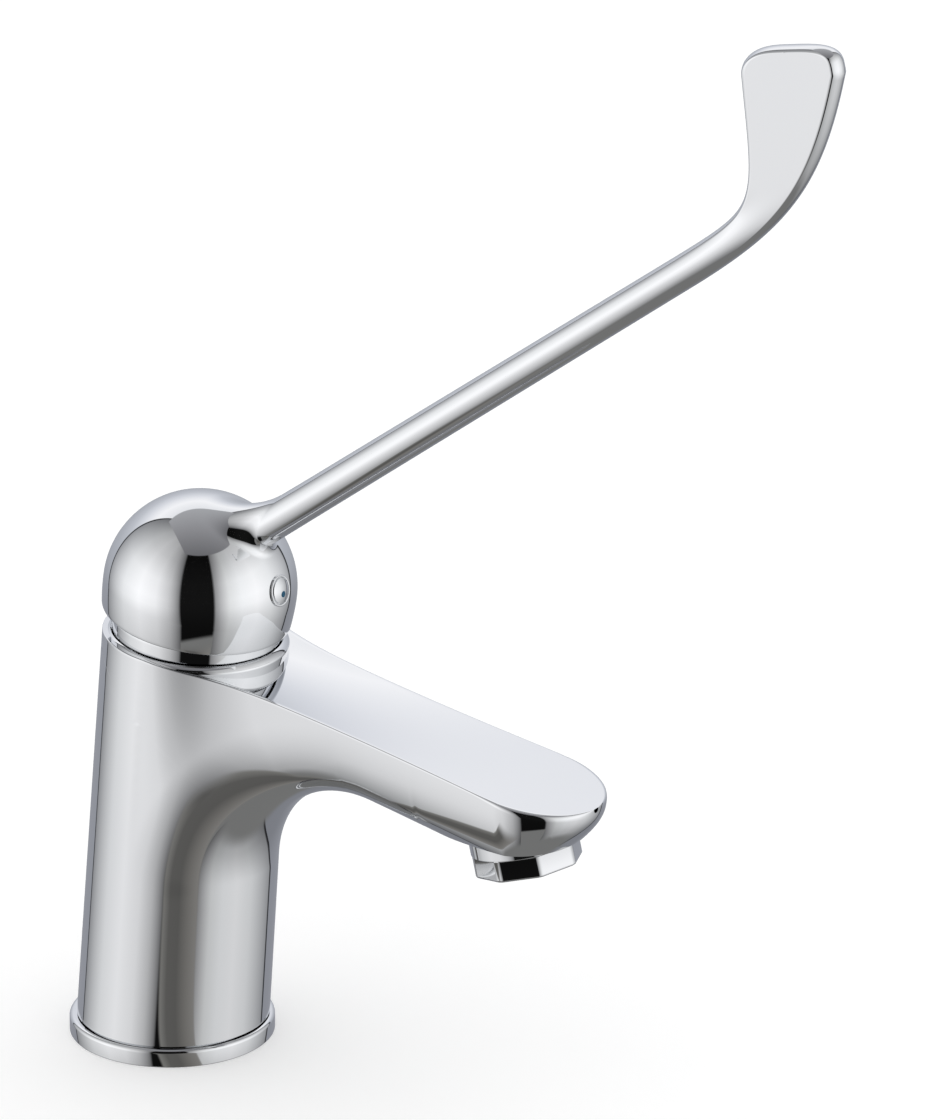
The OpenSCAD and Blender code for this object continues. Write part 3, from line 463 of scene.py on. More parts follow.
# ------------------------------------------------------------------ lever handle
# One zinc casting, polished and chromed: a hollow dome that drops over the spindle, a round rod that
# rises from it, and an upright flat blade that an elbow can push.
PIVOT_H, NOSE_DOWN = 107.0, math.radians(5.1)
DOME_R, DOME_RISE, DOME_WALL, DOME_SETBACK = 22.75, 7.8, 1.8, 0.6
DOME_SKIRT, SKIRT_FALL, EDGE_ROUND, EDGE_STEPS = 7.0, 35.0, 0.35, [(0.08, 0.12), (0.32, 0.0)]
LEVER_RISE, LEVER_OFFSET, ROD_START, ROD_LEN = math.radians(46.1), 3.8, 42.0, 164.0
ROD_R_ROOT, ROD_R_TIP, FILLET_UNDER, FILLET_TOP = 4.35, 3.9, 3.0, 28.0
BLADE_T, BLADE_W, BLADE_REACH, BLADE_LIFT = 5.6, 25.56, 52.8, 24.2
BLADE_TURN, BLADE_CROWN, RIM_BULGE = math.radians(64.3), 6.85, 1.2
BOSS_R, BOSS_FOOT, BOSS_TOP, BOSS_BORE_R, BOSS_BORE_TOP = 8.0, 5.6, 27.0, 4.2, 18.0
RING_POINTS, BOSS_STEPS, HANDLE_SHARP_ANGLE, INSIDE_CHAMFER = 120, 96, 60, 0.1
FILLET_ROWS, DOME_ROWS, SKIRT_ROWS, INSIDE_ROWS, ROD_ROWS, BLADE_ROWS = 25, 60, 12, 24, 12, 65


def on_pivot(points):
    """From the lift pivot's frame to the tap's."""
    return turned(turned(points, NOSE_DOWN) + np.array([0, 0, PIVOT_H]), LEAN)


dome_centre = np.array([-DOME_SETBACK, 0, DOME_RISE])
rod_way = np.array([math.cos(LEVER_RISE), 0, math.sin(LEVER_RISE)])
rod_up = np.array([-math.sin(LEVER_RISE), 0, math.cos(LEVER_RISE)])
round_angles = np.linspace(0, 2 * np.pi, RING_POINTS, endpoint=False)


def lever_points(along, above, side):
    """Points from distances along the rod, above it and to its side."""
    along, above, side = np.broadcast_arrays(*(np.asarray(v, float) for v in (along, above, side)))
    return (dome_centre + along[:, None] * rod_way + (above + LEVER_OFFSET)[:, None] * rod_up
            + side[:, None] * across)


def lever_ring(inner, outer, half_t):
    """An oval ring between two edge points."""
    inner, outer = np.asarray(inner), np.asarray(outer)
    middle = (inner + outer) / 2 + (outer - inner) / 2 * np.cos(round_angles)[:, None]
    return lever_points(middle[:, 0], middle[:, 1], half_t * np.sin(round_angles))


# The fillet at the rod's root, tight below and long on top: in each half-plane through the rod's axis an
# arc touches rod and dome.
fillet_r = mix(FILLET_UNDER, FILLET_TOP, ((1 - np.cos(round_angles)) / 2) ** 3)
axis_gap = LEVER_OFFSET * np.cos(round_angles)
dome_cut_r = np.sqrt(DOME_R ** 2 - (LEVER_OFFSET * np.sin(round_angles)) ** 2)
fillet_along = np.sqrt((dome_cut_r + fillet_r) ** 2 - (ROD_R_ROOT + fillet_r - axis_gap) ** 2)
fillet_end = np.arctan2(axis_gap - ROD_R_ROOT - fillet_r, -fillet_along)
handle_rings = []
for t in np.linspace(1, 0, FILLET_ROWS):
    a = mix(-math.pi / 2, fillet_end, t)
    along = fillet_along + fillet_r * np.cos(a)
    off = ROD_R_ROOT + fillet_r + fillet_r * np.sin(a)
    handle_rings.append(lever_points(along, -off * np.cos(round_angles), off * np.sin(round_angles)))
foot_way = (handle_rings[0] - dome_centre) / DOME_R

# From the fillet's foot the dome runs along great circles to its equator, drops nearly straight as a
# skirt to its lower edge, then turns inside.
equator_way = np.stack([np.cos(round_angles), np.sin(round_angles), np.zeros(RING_POINTS)], -1)
swing = np.arccos(np.clip((foot_way * equator_way).sum(1), -1, 1))[:, None]
dome_rings = []
for t in np.linspace(0, 1, DOME_ROWS)[1:]:
    way = (np.sin((1 - t) * swing) * foot_way + np.sin(t * swing) * equator_way) / np.sin(swing)
    dome_rings.append(dome_centre + DOME_R * way)
for z in np.linspace(0, DOME_SKIRT - EDGE_ROUND, SKIRT_ROWS)[1:]:
    edge_r = DOME_R * math.sqrt(1 - (z / SKIRT_FALL) ** 2)
    dome_rings.append(dome_centre + edge_r * equator_way - np.array([0, 0, z]))
inside_r = DOME_R - DOME_WALL
inside = ([(edge_r - step, rise - DOME_SKIRT) for step, rise in EDGE_STEPS]
          + [(inside_r + INSIDE_CHAMFER, -DOME_SKIRT), (inside_r, INSIDE_CHAMFER - DOME_SKIRT)]
          + arc((0, 0), inside_r, 0, 89.9, INSIDE_ROWS))
inside_rings = [dome_centre + r * equator_way + np.array([0, 0, h]) for r, h in inside]

# The rod, and the blade's two edges as curves that leave the rod straight: each has its pull at the rod,
# its pull at the blade and how far its end leans from the blade's own direction.
INNER_PULLS, OUTER_PULLS = (28.6, 29.5, 3.5), (31.0, 27.6, 21.5)
for x in np.linspace(ROD_START, ROD_LEN, ROD_ROWS, endpoint=False):
    r = mix(ROD_R_ROOT, ROD_R_TIP, (x - DOME_R) / (ROD_LEN - DOME_R))
    handle_rings.append(lever_ring((x, r), (x, -r), r))
blade_mid = np.array([ROD_LEN + BLADE_REACH, BLADE_LIFT])
blade_across = np.array([math.sin(BLADE_TURN), -math.cos(BLADE_TURN)])
blade_up = np.array([math.cos(BLADE_TURN), math.sin(BLADE_TURN)])
edge_share = np.linspace(0, 1, BLADE_ROWS)


def blade_edge(side, pulls):
    """Points of one edge of the blade, from the rod to the crown's corner."""
    at_rod, at_blade, lean = pulls
    a = BLADE_TURN - math.radians(lean)
    end = blade_mid + side * blade_across * BLADE_W / 2
    p = np.array([(ROD_LEN, -side * ROD_R_TIP), (ROD_LEN + at_rod, -side * ROD_R_TIP),
                  end - at_blade * np.array([math.cos(a), math.sin(a)]), end])
    t = edge_share[:, None]
    return p[0] * (1 - t) ** 3 + p[1] * 3 * t * (1 - t) ** 2 + p[2] * 3 * t * t * (1 - t) + p[3] * t ** 3


# The outline goes on over the crown, half from each edge. Its corners rise and draw in by two powers.
INNER_CORNER, OUTER_CORNER = (0.95, 0.66), (0.55, 0.54)
crown = np.radians(np.concatenate([np.linspace(3, 84, 28), [86.5, 88.4, 89.6, 90]]))[:, None]


def crown_line(side, rise, draw):
    """Half of the crown: how fast it rises from its corner and draws in to the middle."""
    return (blade_mid + side * blade_across * BLADE_W / 2 * np.maximum(0, np.cos(crown)) ** draw
            + blade_up * BLADE_CROWN * np.sin(crown) ** rise)


def outward(line, side):
    """Directions that point out of the blade along its outline."""
    way = np.gradient(line, axis=0)
    way /= np.linalg.norm(way, axis=1)[:, None]
    return np.stack([-way[:, 1], way[:, 0]], -1) * side


inner_outline = np.concatenate([blade_edge(-1, INNER_PULLS), crown_line(-1, *INNER_CORNER)])
outer_outline = np.concatenate([blade_edge(1, OUTER_PULLS), crown_line(1, *OUTER_CORNER)])
inner_out, outer_out = outward(inner_outline, 1), outward(outer_outline, -1)

# Each ring of the blade has two flat faces and a rim that bulges outwards. Near the rod it is still oval.
FLATTENING, THINNING = 1.7, 1.6
quarter = RING_POINTS // 4
rim_r = ((BLADE_T / 2) ** 2 + RIM_BULGE ** 2) / (2 * RIM_BULGE)
rim_swing = np.linspace(-1, 1, quarter + 1)[:-1] * math.asin(BLADE_T / 2 / rim_r)
rim_side, rim_out = rim_r * np.sin(rim_swing), (rim_r * np.cos(rim_swing) - rim_r + RIM_BULGE)[:, None]
face_steps, face_side = np.linspace(0, 1, quarter + 1)[:-1, None], np.full(quarter, BLADE_T / 2)
flat_side = np.concatenate([rim_side, face_side, -rim_side, -face_side])
for i, t in enumerate(np.concatenate([edge_share, np.ones(len(crown))])):
    inner_in = inner_outline[i] - inner_out[i] * RIM_BULGE
    outer_in = outer_outline[i] - outer_out[i] * RIM_BULGE
    flat_line = np.concatenate([outer_in + outer_out[i] * rim_out, mix(outer_in, inner_in, face_steps),
                                inner_in + inner_out[i] * rim_out, mix(inner_in, outer_in, face_steps)])
    flat_ring = np.roll(lever_points(flat_line[:, 0], flat_line[:, 1], flat_side), -(quarter // 2), axis=0)
    half_t = mix(ROD_R_TIP, BLADE_T / 2, unit(THINNING * t))
    round_ring = lever_ring(inner_outline[i], outer_outline[i], half_t)
    handle_rings.append(mix(round_ring, flat_ring, ease(FLATTENING * t)))

handle_points = np.concatenate(inside_rings[::-1] + dome_rings[::-1] + handle_rings)
handle_faces = grid_faces(len(handle_points) // RING_POINTS, RING_POINTS)
boss_points, boss_faces = lathe([(BOSS_BORE_R, BOSS_BORE_TOP), (BOSS_BORE_R, BOSS_FOOT), (BOSS_R, BOSS_FOOT),
                                 (BOSS_R, BOSS_TOP)], BOSS_STEPS)
handle_faces += [tuple(len(handle_points) + i for i in f) for f in boss_faces]
handle_points = np.concatenate([handle_points, boss_points])
lever_handle = new_piece("lever_handle_chromed", on_pivot(handle_points), handle_faces, chrome,
                         HANDLE_SHARP_ANGLE)

# Raw zinc as it left the die: dull grey with a fine sandy skin, as the inside of the dome is never
# polished.
ZINC_SAND_MM, ZINC_GRIT_MM = 0.4, 0.02
zinc, tree, place = new_material("raw_die_cast_zinc")
sand = add_node(tree, "ShaderNodeTexNoise", {"Scale": 1 / (ZINC_SAND_MM * MM), "Detail": 4.0},
                {"Vector": place})
grit = add_node(tree, "ShaderNodeBump", {"Strength": 0.5, "Distance": ZINC_GRIT_MM * MM},
                {"Height": sand.outputs["Fac"]})
dull = add_node(tree, "ShaderNodeMix", {6: linear_colour("#5b5d61"), 7: linear_colour("#6c6e72")},
                {0: sand.outputs["Fac"]}, data_type="RGBA")
cast = add_node(tree, "ShaderNodeBsdfPrincipled", {"Metallic": 1.0, "Roughness": 0.55},
                {"Base Color": dull.outputs[2], "Normal": grit.outputs["Normal"]})
add_node(tree, "ShaderNodeOutputMaterial", links={"Surface": cast.outputs["BSDF"]})
lever_handle.data.materials.append(zinc)
dome_middle = Vector(on_pivot(dome_centre[None])[0] * MM)
for face in lever_handle.data.polygons:
    face.material_index = int((face.center - dome_middle).length < (DOME_R - DOME_WALL / 2) * MM)
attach(lever_handle, "handle")
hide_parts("lever_handle")

# ------------------------------------------------------------------ indicator plug and dot
# A small chromed button pressed into the dome over the grub screw, with a rolled rim and a groove,
# and the blue enamel dot in it that marks the cold side.
PLUG_TILT, PLUG_R, PLUG_SEAT, PLUG_PROUD = math.radians(18), 3.8, 20.55, 0.55
PLUG_FACE = DOME_R - PLUG_R ** 2 / (2 * DOME_R) + PLUG_PROUD
PLUG_ROLL, ROLL_FOOT_IN, ROLL_FOOT_DOWN = 0.3, 0.06, 0.42
BUTTON_R, BUTTON_RISE = 2.95, 0.55
# Points of the groove: outside the button, below the plug's face.
BUTTON_GROOVE = [(0.3, 0.06), (0.1, 0.42), (0.02, 0.42), (0.0, 0.14)]
PLUG_STEPS = 96
button_sphere = (BUTTON_R ** 2 + BUTTON_RISE ** 2) / (2 * BUTTON_RISE)
button_angle = math.degrees(math.asin(BUTTON_R / button_sphere))


def on_plug(points):
    """From the plug's axis, with the dome's centre as origin, to the tap's frame."""
    return on_pivot(turned(points, math.pi / 2 - PLUG_TILT) + dome_centre)


plug_profile = (
    [(PLUG_R - PLUG_ROLL, PLUG_SEAT), (PLUG_R - PLUG_ROLL, PLUG_FACE - PLUG_PROUD),
     (PLUG_R - ROLL_FOOT_IN, PLUG_FACE - ROLL_FOOT_DOWN)]
    + arc((PLUG_R - PLUG_ROLL, PLUG_FACE - PLUG_ROLL), PLUG_ROLL, -10, 90, 8)
    + [(BUTTON_R + out, PLUG_FACE - down) for out, down in BUTTON_GROOVE]
    + arc((0, PLUG_FACE + BUTTON_RISE - button_sphere), button_sphere, 90 - button_angle, 89.9, 20))
points, faces = lathe(plug_profile, PLUG_STEPS)
plug = new_piece("indicator_plug_chromed", on_plug(points), faces, chrome)
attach(plug, "handle")
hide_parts("indicator_plug")

# Blue stove enamel: deep and half glossy, a little mottled where it pooled in its seat.
DOT_R, DOT_DROP, DOT_ROUND, DOT_CROWN, DOT_STEPS = 0.8, 0.75, 0.12, [(0.3, 0.02), (POLE_R, 0.03)], 48
ENAMEL_POOL_MM = 0.5
enamel, tree, place = new_material("blue_stove_enamel")
pool = add_node(tree, "ShaderNodeTexNoise", {"Scale": 1 / (ENAMEL_POOL_MM * MM), "Detail": 2.0},
                {"Vector": place})
blue = add_node(tree, "ShaderNodeMix", {6: linear_colour("#06435f"), 7: linear_colour("#0b5675")},
                {0: pool.outputs["Fac"]}, data_type="RGBA")
fired = add_node(tree, "ShaderNodeBsdfPrincipled", {"Roughness": 0.4, "Specular IOR Level": 0.25},
                 {"Base Color": blue.outputs[2]})
add_node(tree, "ShaderNodeOutputMaterial", links={"Surface": fired.outputs["BSDF"]})
dot_profile = ([(DOT_R, 0.0), (DOT_R, BUTTON_RISE - DOT_ROUND)]
               + arc((DOT_R - DOT_ROUND, BUTTON_RISE - DOT_ROUND), DOT_ROUND, 0, 80, 4)
               + [(r, BUTTON_RISE + rise) for r, rise in DOT_CROWN])
points, faces = lathe(dot_profile, DOT_STEPS)
dot = new_piece("indicator_dot_enamel", on_plug(points + np.array([DOT_DROP, 0, PLUG_FACE])), faces, enamel)
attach(dot, "handle")
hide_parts("indicator_dot")

# ------------------------------------------------------------------ aerator
# The chromed shell screwed into the outlet, round above and with eight spanner flats below.
# The plastic flow straightener inside it shows from underneath.
AERATOR_R, AERATOR_SHOW, SHELL_SINK, THREAD_R, THREAD_H = 12.75, 7.9, 2.6, 11.85, 6.0
SHELL_IN_R, KEEPER_W, KEEPER_CHAMFER, JET_TILT = 10.65, 1.4, 0.2, math.radians(13)
FLATS, FLAT_R, FLATS_TOP, CORNER_BREAK, FOOT_ROLL = 8, 11.9, -2.9, 0.08, 0.6
FLATS_RUNOUT, FLATS_FLARE, SHOULDER_IN, SHOULDER_LOW, SHOULDER_HIGH = 0.12, 0.04, 0.12, 0.1, 0.25
SHELL_STEPS, SHELL_SHARP_ANGLE = 240, 24
insert_foot, keeper_r = KEEPER_W - AERATOR_SHOW, SHELL_IN_R - KEEPER_W


def flat_radius(shrink=0.0):
    """Radius of the eight flats round the shell, with their corners just broken."""
    half = math.pi / FLATS
    off = np.linspace(0, 2 * np.pi, SHELL_STEPS, endpoint=False) % (2 * half) - half
    return np.minimum(FLAT_R / np.cos(off), AERATOR_R - CORNER_BREAK) - shrink


def on_outlet(points):
    return turned(points, -JET_TILT) + np.array([REACH, 0, OUTLET_Z])


# From the thread down the bore to the keeper, round the foot, up the flats and the shell's round part.
shell_rows = [(SHELL_IN_R, THREAD_H), (SHELL_IN_R, insert_foot), (keeper_r, insert_foot),
              (keeper_r, -AERATOR_SHOW + KEEPER_CHAMFER), (keeper_r + KEEPER_CHAMFER, -AERATOR_SHOW)]
shell_rows += [(flat_radius(FOOT_ROLL - FOOT_ROLL * math.sin(a)),
                -AERATOR_SHOW + FOOT_ROLL - FOOT_ROLL * math.cos(a))
               for a in np.radians(np.linspace(0, 90, 9))]
shell_rows += [(flat_radius(), FLATS_TOP - FLATS_RUNOUT), (flat_radius(-FLATS_FLARE), FLATS_TOP),
               (AERATOR_R - SHOULDER_IN, FLATS_TOP + SHOULDER_LOW), (AERATOR_R, FLATS_TOP + SHOULDER_HIGH),
               (AERATOR_R, SHELL_SINK), (THREAD_R, SHELL_SINK), (THREAD_R, THREAD_H), (SHELL_IN_R, THREAD_H)]
points, faces = lathe(shell_rows, SHELL_STEPS)
shell = new_piece("aerator_shell_chromed", on_outlet(points), faces, chrome, SHELL_SHARP_ANGLE)
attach(shell, "tap_body")
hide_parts("aerator_shell")

# ------------------------------------------------------------------ rubber, plastic, ceramic and metal inside
# Pieces that are hidden or seen only from below keep their solids: each takes the finish of its own
# material, moulded, lapped or turned.
INNER_FINISHES = [
    # name, dark and light colour, pattern size in mm, roughness range, metallic, bump depth in mm, nodes
    # Moulded rubber: nearly black and matt, so that it reads as a dark line between shiny pieces.
    ("nitrile_rubber", "#17181a", "#242527", 0.5, (0.6, 0.8), 0.0, 0.02,
     ["base_gasket", "port_seals", "hood_ring", "aerator_gasket"]),
    # Moulded acetal: an even, slightly waxy white or grey with a soft shine.
    ("white_acetal", "#dcdad2", "#e8e6df", 1.2, (0.35, 0.5), 0.0, 0.01,
     ["cartridge_base", "cartridge_housing", "aerator_insert"]),
    ("grey_acetal", "#6f7377", "#7c8084", 1.2, (0.35, 0.5), 0.0, 0.01, ["disc_carrier", "turret_guide"]),
    # Fired alumina, lapped flat: a smooth ivory face with a silky gloss.
    ("lapped_alumina", "#e4e0d6", "#eeebe3", 0.4, (0.18, 0.28), 0.0, 0.0, ["fixed_disc", "moving_disc"]),
    # Turned metal, not plated: bright but softened by fine tool marks, drawn coarser than they are.
    ("turned_stainless_steel", "#a6aaae", "#bcc0c4", 0.3, (0.22, 0.38), 1.0, 0.004,
     ["pivot_pin", "spindle", "set_screw", "aerator_screen"]),
    ("turned_brass", "#b8923f", "#cda955", 0.3, (0.22, 0.36), 1.0, 0.004, ["cartridge_nut"]),
]
for name, dark, light, grain_mm, roughness, metallic, bump_mm, nodes in INNER_FINISHES:
    finish, tree, place = new_material(name)
    grain = add_node(tree, "ShaderNodeTexNoise", {"Scale": 1 / (grain_mm * MM), "Detail": 5.0},
                     {"Vector": place}).outputs["Fac"]
    colour = add_node(tree, "ShaderNodeMix", {6: linear_colour(dark), 7: linear_colour(light)},
                      {0: grain}, data_type="RGBA")
    gloss = add_node(tree, "ShaderNodeMapRange", {"To Min": roughness[0], "To Max": roughness[1]},
                     {"Value": grain})
    links = {"Base Color": colour.outputs[2], "Roughness": gloss.outputs["Result"]}
    if bump_mm:
        bump = add_node(tree, "ShaderNodeBump", {"Strength": 0.6, "Distance": bump_mm * MM},
                        {"Height": grain})
        links["Normal"] = bump.outputs["Normal"]
    surface = add_node(tree, "ShaderNodeBsdfPrincipled", {"Metallic": metallic}, links)
    add_node(tree, "ShaderNodeOutputMaterial", links={"Surface": surface.outputs["BSDF"]})
    for node in nodes:
        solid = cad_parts[node].data
        solid.materials.clear()
        solid.materials.append(finish)

# ------------------------------------------------------------------ studio
# A pale floor under plain soft light, and round it two big softboxes with a dark gap between them
# where the camera stands, a grey ceiling and a white back wall, which the chrome mirrors.
CAM_AZ, CAM_EL, CAM_DISTANCE, CAM_FOCAL_PX = math.radians(32.48), math.radians(20.51), 1934.0, 8471.75
CAM_TARGET, IMAGE_W, SENSOR_W = (82.51, 0.0, 135.42), 928, 36.0
right_way = Vector((math.cos(CAM_AZ), math.sin(CAM_AZ), 0))
front_way = Vector((math.sin(CAM_AZ), -math.cos(CAM_AZ), 0))
back_way = front_way * math.cos(CAM_EL) + Vector((0, 0, math.sin(CAM_EL)))
up_way = back_way.cross(right_way)
camera = bpy.data.objects.new("camera", bpy.data.cameras.new("camera"))
camera.data.sensor_fit, camera.data.sensor_width = "HORIZONTAL", SENSOR_W
camera.data.lens = CAM_FOCAL_PX / IMAGE_W * SENSOR_W
camera.data.clip_start, camera.data.clip_end = 0.05, 20
camera.matrix_world = Matrix.Translation((Vector(CAM_TARGET) + back_way * CAM_DISTANCE) * MM) @ Matrix(
    (right_way, up_way, back_way)).transposed().to_4x4()
bpy.context.scene.collection.objects.link(camera)
bpy.context.scene.camera = camera
bpy.context.scene.view_settings.view_transform = "Standard"


def new_stage(name, corners, material):
    """A flat stage object from its corners in metres."""
    mesh = bpy.data.meshes.new(name)
    mesh.from_pydata(corners, [], [(0, 1, 2, 3)])
    mesh.materials.append(material)
    sheet = bpy.data.objects.new(name, mesh)
    bpy.context.scene.collection.objects.link(sheet)
    return sheet


# Floor: matt white paper. Diffuse light gives the soft shadow round the base, and a little glow for the
# camera lifts the paper to white.
FLOOR_HALF, PAPER_FIBRE_MM, PAPER_GLOW = 4.0, 1.5, 0.13
paper, tree, place = new_material("matt_white_paper")
fibre = add_node(tree, "ShaderNodeTexNoise", {"Scale": 1 / (PAPER_FIBRE_MM * MM), "Detail": 3.0},
                 {"Vector": place})
white = add_node(tree, "ShaderNodeMix", {6: linear_colour("#f6f6f6"), 7: linear_colour("#f9f9f9")},
                 {0: fibre.outputs["Fac"]}, data_type="RGBA")
matt = add_node(tree, "ShaderNodeBsdfDiffuse", links={"Color": white.outputs[2]})
seen = add_node(tree, "ShaderNodeLightPath").outputs["Is Camera Ray"]
lift = add_node(tree, "ShaderNodeMath", {1: PAPER_GLOW}, {0: seen}, operation="MULTIPLY")
glow = add_node(tree, "ShaderNodeEmission", {"Color": (1, 1, 1, 1)}, {"Strength": lift.outputs[0]})
both = add_node(tree, "ShaderNodeAddShader", links={0: matt.outputs[0], 1: glow.outputs[0]})
add_node(tree, "ShaderNodeOutputMaterial", links={"Surface": both.outputs[0]})
square = ((-1, -1), (1, -1), (1, 1), (-1, 1))
floor = new_stage("floor", [(x * FLOOR_HALF, y * FLOOR_HALF, 0) for x, y in square], paper)
floor.visible_glossy = False

# A dark grey card on the table towards the camera, seen only as a reflection, with faded edges. It glows with
# painted reflection tones, darker in the middle and lighter towards the boxes. Its places are to the right
# and to the front as the camera sees them, in mm, and its bearings in degrees.
CARD_APEX, CARD_CORNERS = (3.9, 11.7), [(-20, 8), (-95, 170), (90, 170), (20, 8)]
CARD_PAINTED_TONES = [(-22, "#73726f"), (-14, "#565553"), (-3, "#545351"), (8, "#696764"), (18, "#777572")]
CARD_LEFT, CARD_RIGHT, CARD_FAR = (-24.0, -20.5), (20.5, 17.5), (142.0, 95.0)
CHROME_GAIN = 1.29


def bearing_and_front(way):
    """Bearing of a direction from the camera's side in radians, and its part towards the camera."""
    tree = way.id_data
    right, front = [add_node(tree, "ShaderNodeVectorMath", {1: axis}, {0: way},
                             operation="DOT_PRODUCT").outputs["Value"] for axis in (right_way, front_way)]
    return add_node(tree, "ShaderNodeMath", links={0: right, 1: front}, operation="ARCTAN2").outputs[0], front


painted_reflection_card, tree, place = new_material("dark_grey_painted_reflection_card")
bearing, front = bearing_and_front(place)
degrees = add_node(tree, "ShaderNodeMath", links={0: bearing}, operation="DEGREES").outputs[0]
share = add_node(tree, "ShaderNodeMapRange", {"From Min": -90.0, "From Max": 90.0}, {"Value": degrees})
tones = add_node(tree, "ShaderNodeValToRGB", links={0: share.outputs["Result"]},
                 stops=[((value + 90.0) / 180.0, colour) for value, colour in CARD_PAINTED_TONES])
# Painted reflection: the card glows in these tones of its own, not lit by any lamp.
tone = add_node(tree, "ShaderNodeEmission", {"Strength": CHROME_GAIN}, {"Color": tones.outputs["Color"]})
left, right, near = [
    add_node(tree, "ShaderNodeMapRange", {"From Min": start * unit_size, "From Max": end * unit_size},
             {"Value": value}, interpolation_type="SMOOTHSTEP").outputs["Result"]
    for value, (start, end), unit_size in ((degrees, CARD_LEFT, 1), (degrees, CARD_RIGHT, 1),
                                           (front, CARD_FAR, MM))]
shows = left
for fade in (right, near):
    shows = add_node(tree, "ShaderNodeMath", links={0: shows, 1: fade}, operation="MULTIPLY").outputs[0]
clear = add_node(tree, "ShaderNodeBsdfTransparent")
faded = add_node(tree, "ShaderNodeMixShader", links={0: shows, 1: clear.outputs[0], 2: tone.outputs[0]})
add_node(tree, "ShaderNodeOutputMaterial", links={"Surface": faded.outputs[0]})
card = new_stage("table_card", [(right_way * s + front_way * f) * MM for s, f in CARD_CORNERS], painted_reflection_card)
card.location = (right_way * CARD_APEX[0] + front_way * CARD_APEX[1]) * MM
card.visible_camera = card.visible_diffuse = card.visible_shadow = card.visible_transmission = False

# The studio as directions: bearing from the camera's side and height over the horizon in degrees, each
# with the tone that chrome shows for it. The boxes glow most in their middles.
BOXES = [(-136.2, "#2c2d2f"), (-134.6, "#2c2d2f"), (-133.6, "#97989b"), (-120, "#bebfc1"), (-100, "#e8e9ea"),
         (-75, "#fcfcfd"), (-52, "#eeeeef"), (-36, "#c8c8c9"), (-28, "#9f9fa0"), (-23.5, "#7a7a7b"),
         (-21.5, "#121212"), (17.5, "#121212"), (19.5, "#8f8f90"), (27, "#bababb"), (36, "#dedfdf"),
         (52, "#f1f2f3"), (72, "#f8f8f9"), (95, "#e8e9ea"), (115, "#c6c7c9"), (132.6, "#a0a1a4"),
         (133.8, "#2c2d2f"), (136, "#2c2d2f")]
BOX_FALL = [(-90, "#7a7a7a"), (-62, "#959595"), (-48, "#b0b0b0"), (-35, "#cccccc"), (-22, "#e1e1e1"),
            (-9, "#fafafa"), (0, "#ffffff"), (20, "#f6f6f6"), (45, "#c8c8c8"), (66, "#aaaaaa")]
BACK_WALL = [(-40, "#77797f"), (-22, "#888a91"), (-10, "#9fa2a9"), (0, "#a8abb2"), (13, "#b8bbc2"),
             (25, "#d2d4da"), (32, "#e2e3e7"), (40, "#f0f0f2"), (56, "#e0e1e4")]
CEILING = [(-0.6, "#a2a3a6"), (0.0, "#88888b"), (0.55, "#67676a")]
TABLE_TONE, TABLE_EDGE = linear_colour("#6e6e6d"), (math.radians(-52), math.radians(-64))
GAP_EDGES, GAP_FLOOR = (math.radians(-23), math.radians(19)), (math.radians(-36), math.radians(-39))
BACK_EDGE = math.radians(135.9), math.radians(137)
LEFT_BOX_FACES, LEFT_BOX_TOP, WALL_TOP, TOP_SOFT = math.radians(78), 2.29, 1.47, 0.04
DIFFUSE_LIGHT = 1.0
world = bpy.data.worlds.new("studio")
bpy.context.scene.world = world
world.use_nodes = True
tree = world.node_tree
tree.nodes.clear()

way = add_node(tree, "ShaderNodeTexCoord").outputs["Generated"]
bearing, front = bearing_and_front(way)
up = add_node(tree, "ShaderNodeSeparateXYZ", links={0: way}).outputs["Z"]
rise = add_node(tree, "ShaderNodeMath", links={0: up}, operation="ARCSINE").outputs[0]
bearing_degrees, rise_degrees, off_front, steepness = [
    add_node(tree, "ShaderNodeMath", links={0: value}, operation=operation).outputs[0] for value, operation in
    ((bearing, "DEGREES"), (rise, "DEGREES"), (bearing, "ABSOLUTE"), (rise, "TANGENT"))]
# The left box is flat, so its top edge rises in the middle; the ceiling starts above it.
box_top = bearing
for operation, number in (("ADD", LEFT_BOX_FACES), ("COSINE", 0.0), ("MULTIPLY", LEFT_BOX_TOP),
                          ("MAXIMUM", WALL_TOP)):
    box_top = add_node(tree, "ShaderNodeMath", {1: number}, {0: box_top}, operation=operation).outputs[0]
over_top = add_node(tree, "ShaderNodeMath", links={0: steepness, 1: box_top}, operation="SUBTRACT").outputs[0]
behind, below, below_gap, above = [
    add_node(tree, "ShaderNodeMapRange", {"From Min": start, "From Max": end}, {"Value": value},
             interpolation_type="SMOOTHSTEP").outputs["Result"]
    for value, (start, end) in ((off_front, BACK_EDGE), (rise, TABLE_EDGE), (rise, GAP_FLOOR),
                                (over_top, (-TOP_SOFT, TOP_SOFT)))]
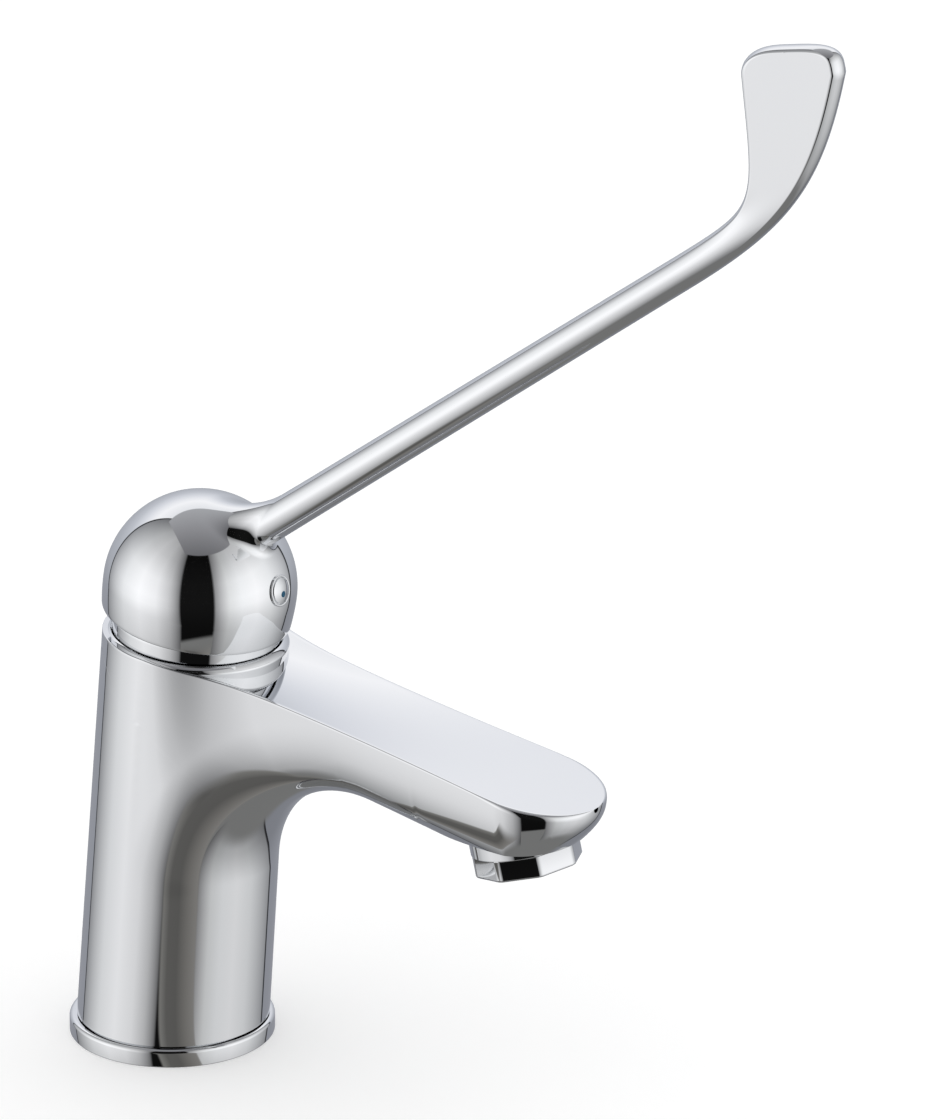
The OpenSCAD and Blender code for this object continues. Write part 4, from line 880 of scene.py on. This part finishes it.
# The table lies below, and in the dark gap it shows from further off.
in_gap = below_gap
for operation, edge_angle in zip(("GREATER_THAN", "LESS_THAN"), GAP_EDGES):
    inside_edge = add_node(tree, "ShaderNodeMath", {1: edge_angle}, {0: bearing}, operation=operation)
    in_gap = add_node(tree, "ShaderNodeMath", links={0: in_gap, 1: inside_edge.outputs[0]},
                      operation="MULTIPLY").outputs[0]
table = add_node(tree, "ShaderNodeMath", links={0: below, 1: in_gap}, operation="MAXIMUM").outputs[0]
table_tone = add_node(tree, "ShaderNodeRGB").outputs[0]
table_tone.default_value = TABLE_TONE
scales = []
for value, low, high, tones in (
        (bearing_degrees, -180.0, 180.0, BOXES), (rise_degrees, -90.0, 90.0, BOX_FALL),
        (rise_degrees, -90.0, 90.0, BACK_WALL), (front, -1.0, 1.0, CEILING)):
    share = add_node(tree, "ShaderNodeMapRange", {"From Min": low, "From Max": high}, {"Value": value})
    scale = add_node(tree, "ShaderNodeValToRGB", links={0: share.outputs["Result"]},
                     stops=[((stop - low) / (high - low), colour) for stop, colour in tones])
    scales.append(scale.outputs["Color"])
box_round, box_fall, back_wall, ceiling = scales
# The boxes lie first, and wall, table and ceiling cover them in turn.
mirrored = add_node(tree, "ShaderNodeMix", {0: 1.0}, {6: box_round, 7: box_fall}, data_type="RGBA",
                    blend_type="MULTIPLY").outputs[2]
for cover, share in ((back_wall, behind), (table_tone, table), (ceiling, above)):
    mirrored = add_node(tree, "ShaderNodeMix", links={0: share, 6: mirrored, 7: cover},
                        data_type="RGBA").outputs[2]
# Mirrors see this studio, and everything else is lit by plain white light from all sides.
is_mirrored = add_node(tree, "ShaderNodeLightPath").outputs["Is Glossy Ray"]
studio = add_node(tree, "ShaderNodeBackground", {"Strength": CHROME_GAIN}, {"Color": mirrored})
plain = add_node(tree, "ShaderNodeBackground", {"Color": (1, 1, 1, 1), "Strength": DIFFUSE_LIGHT})
chosen = add_node(tree, "ShaderNodeMixShader",
                  links={0: is_mirrored, 1: plain.outputs[0], 2: studio.outputs[0]})
add_node(tree, "ShaderNodeOutputWorld", links={"Surface": chosen.outputs[0]})
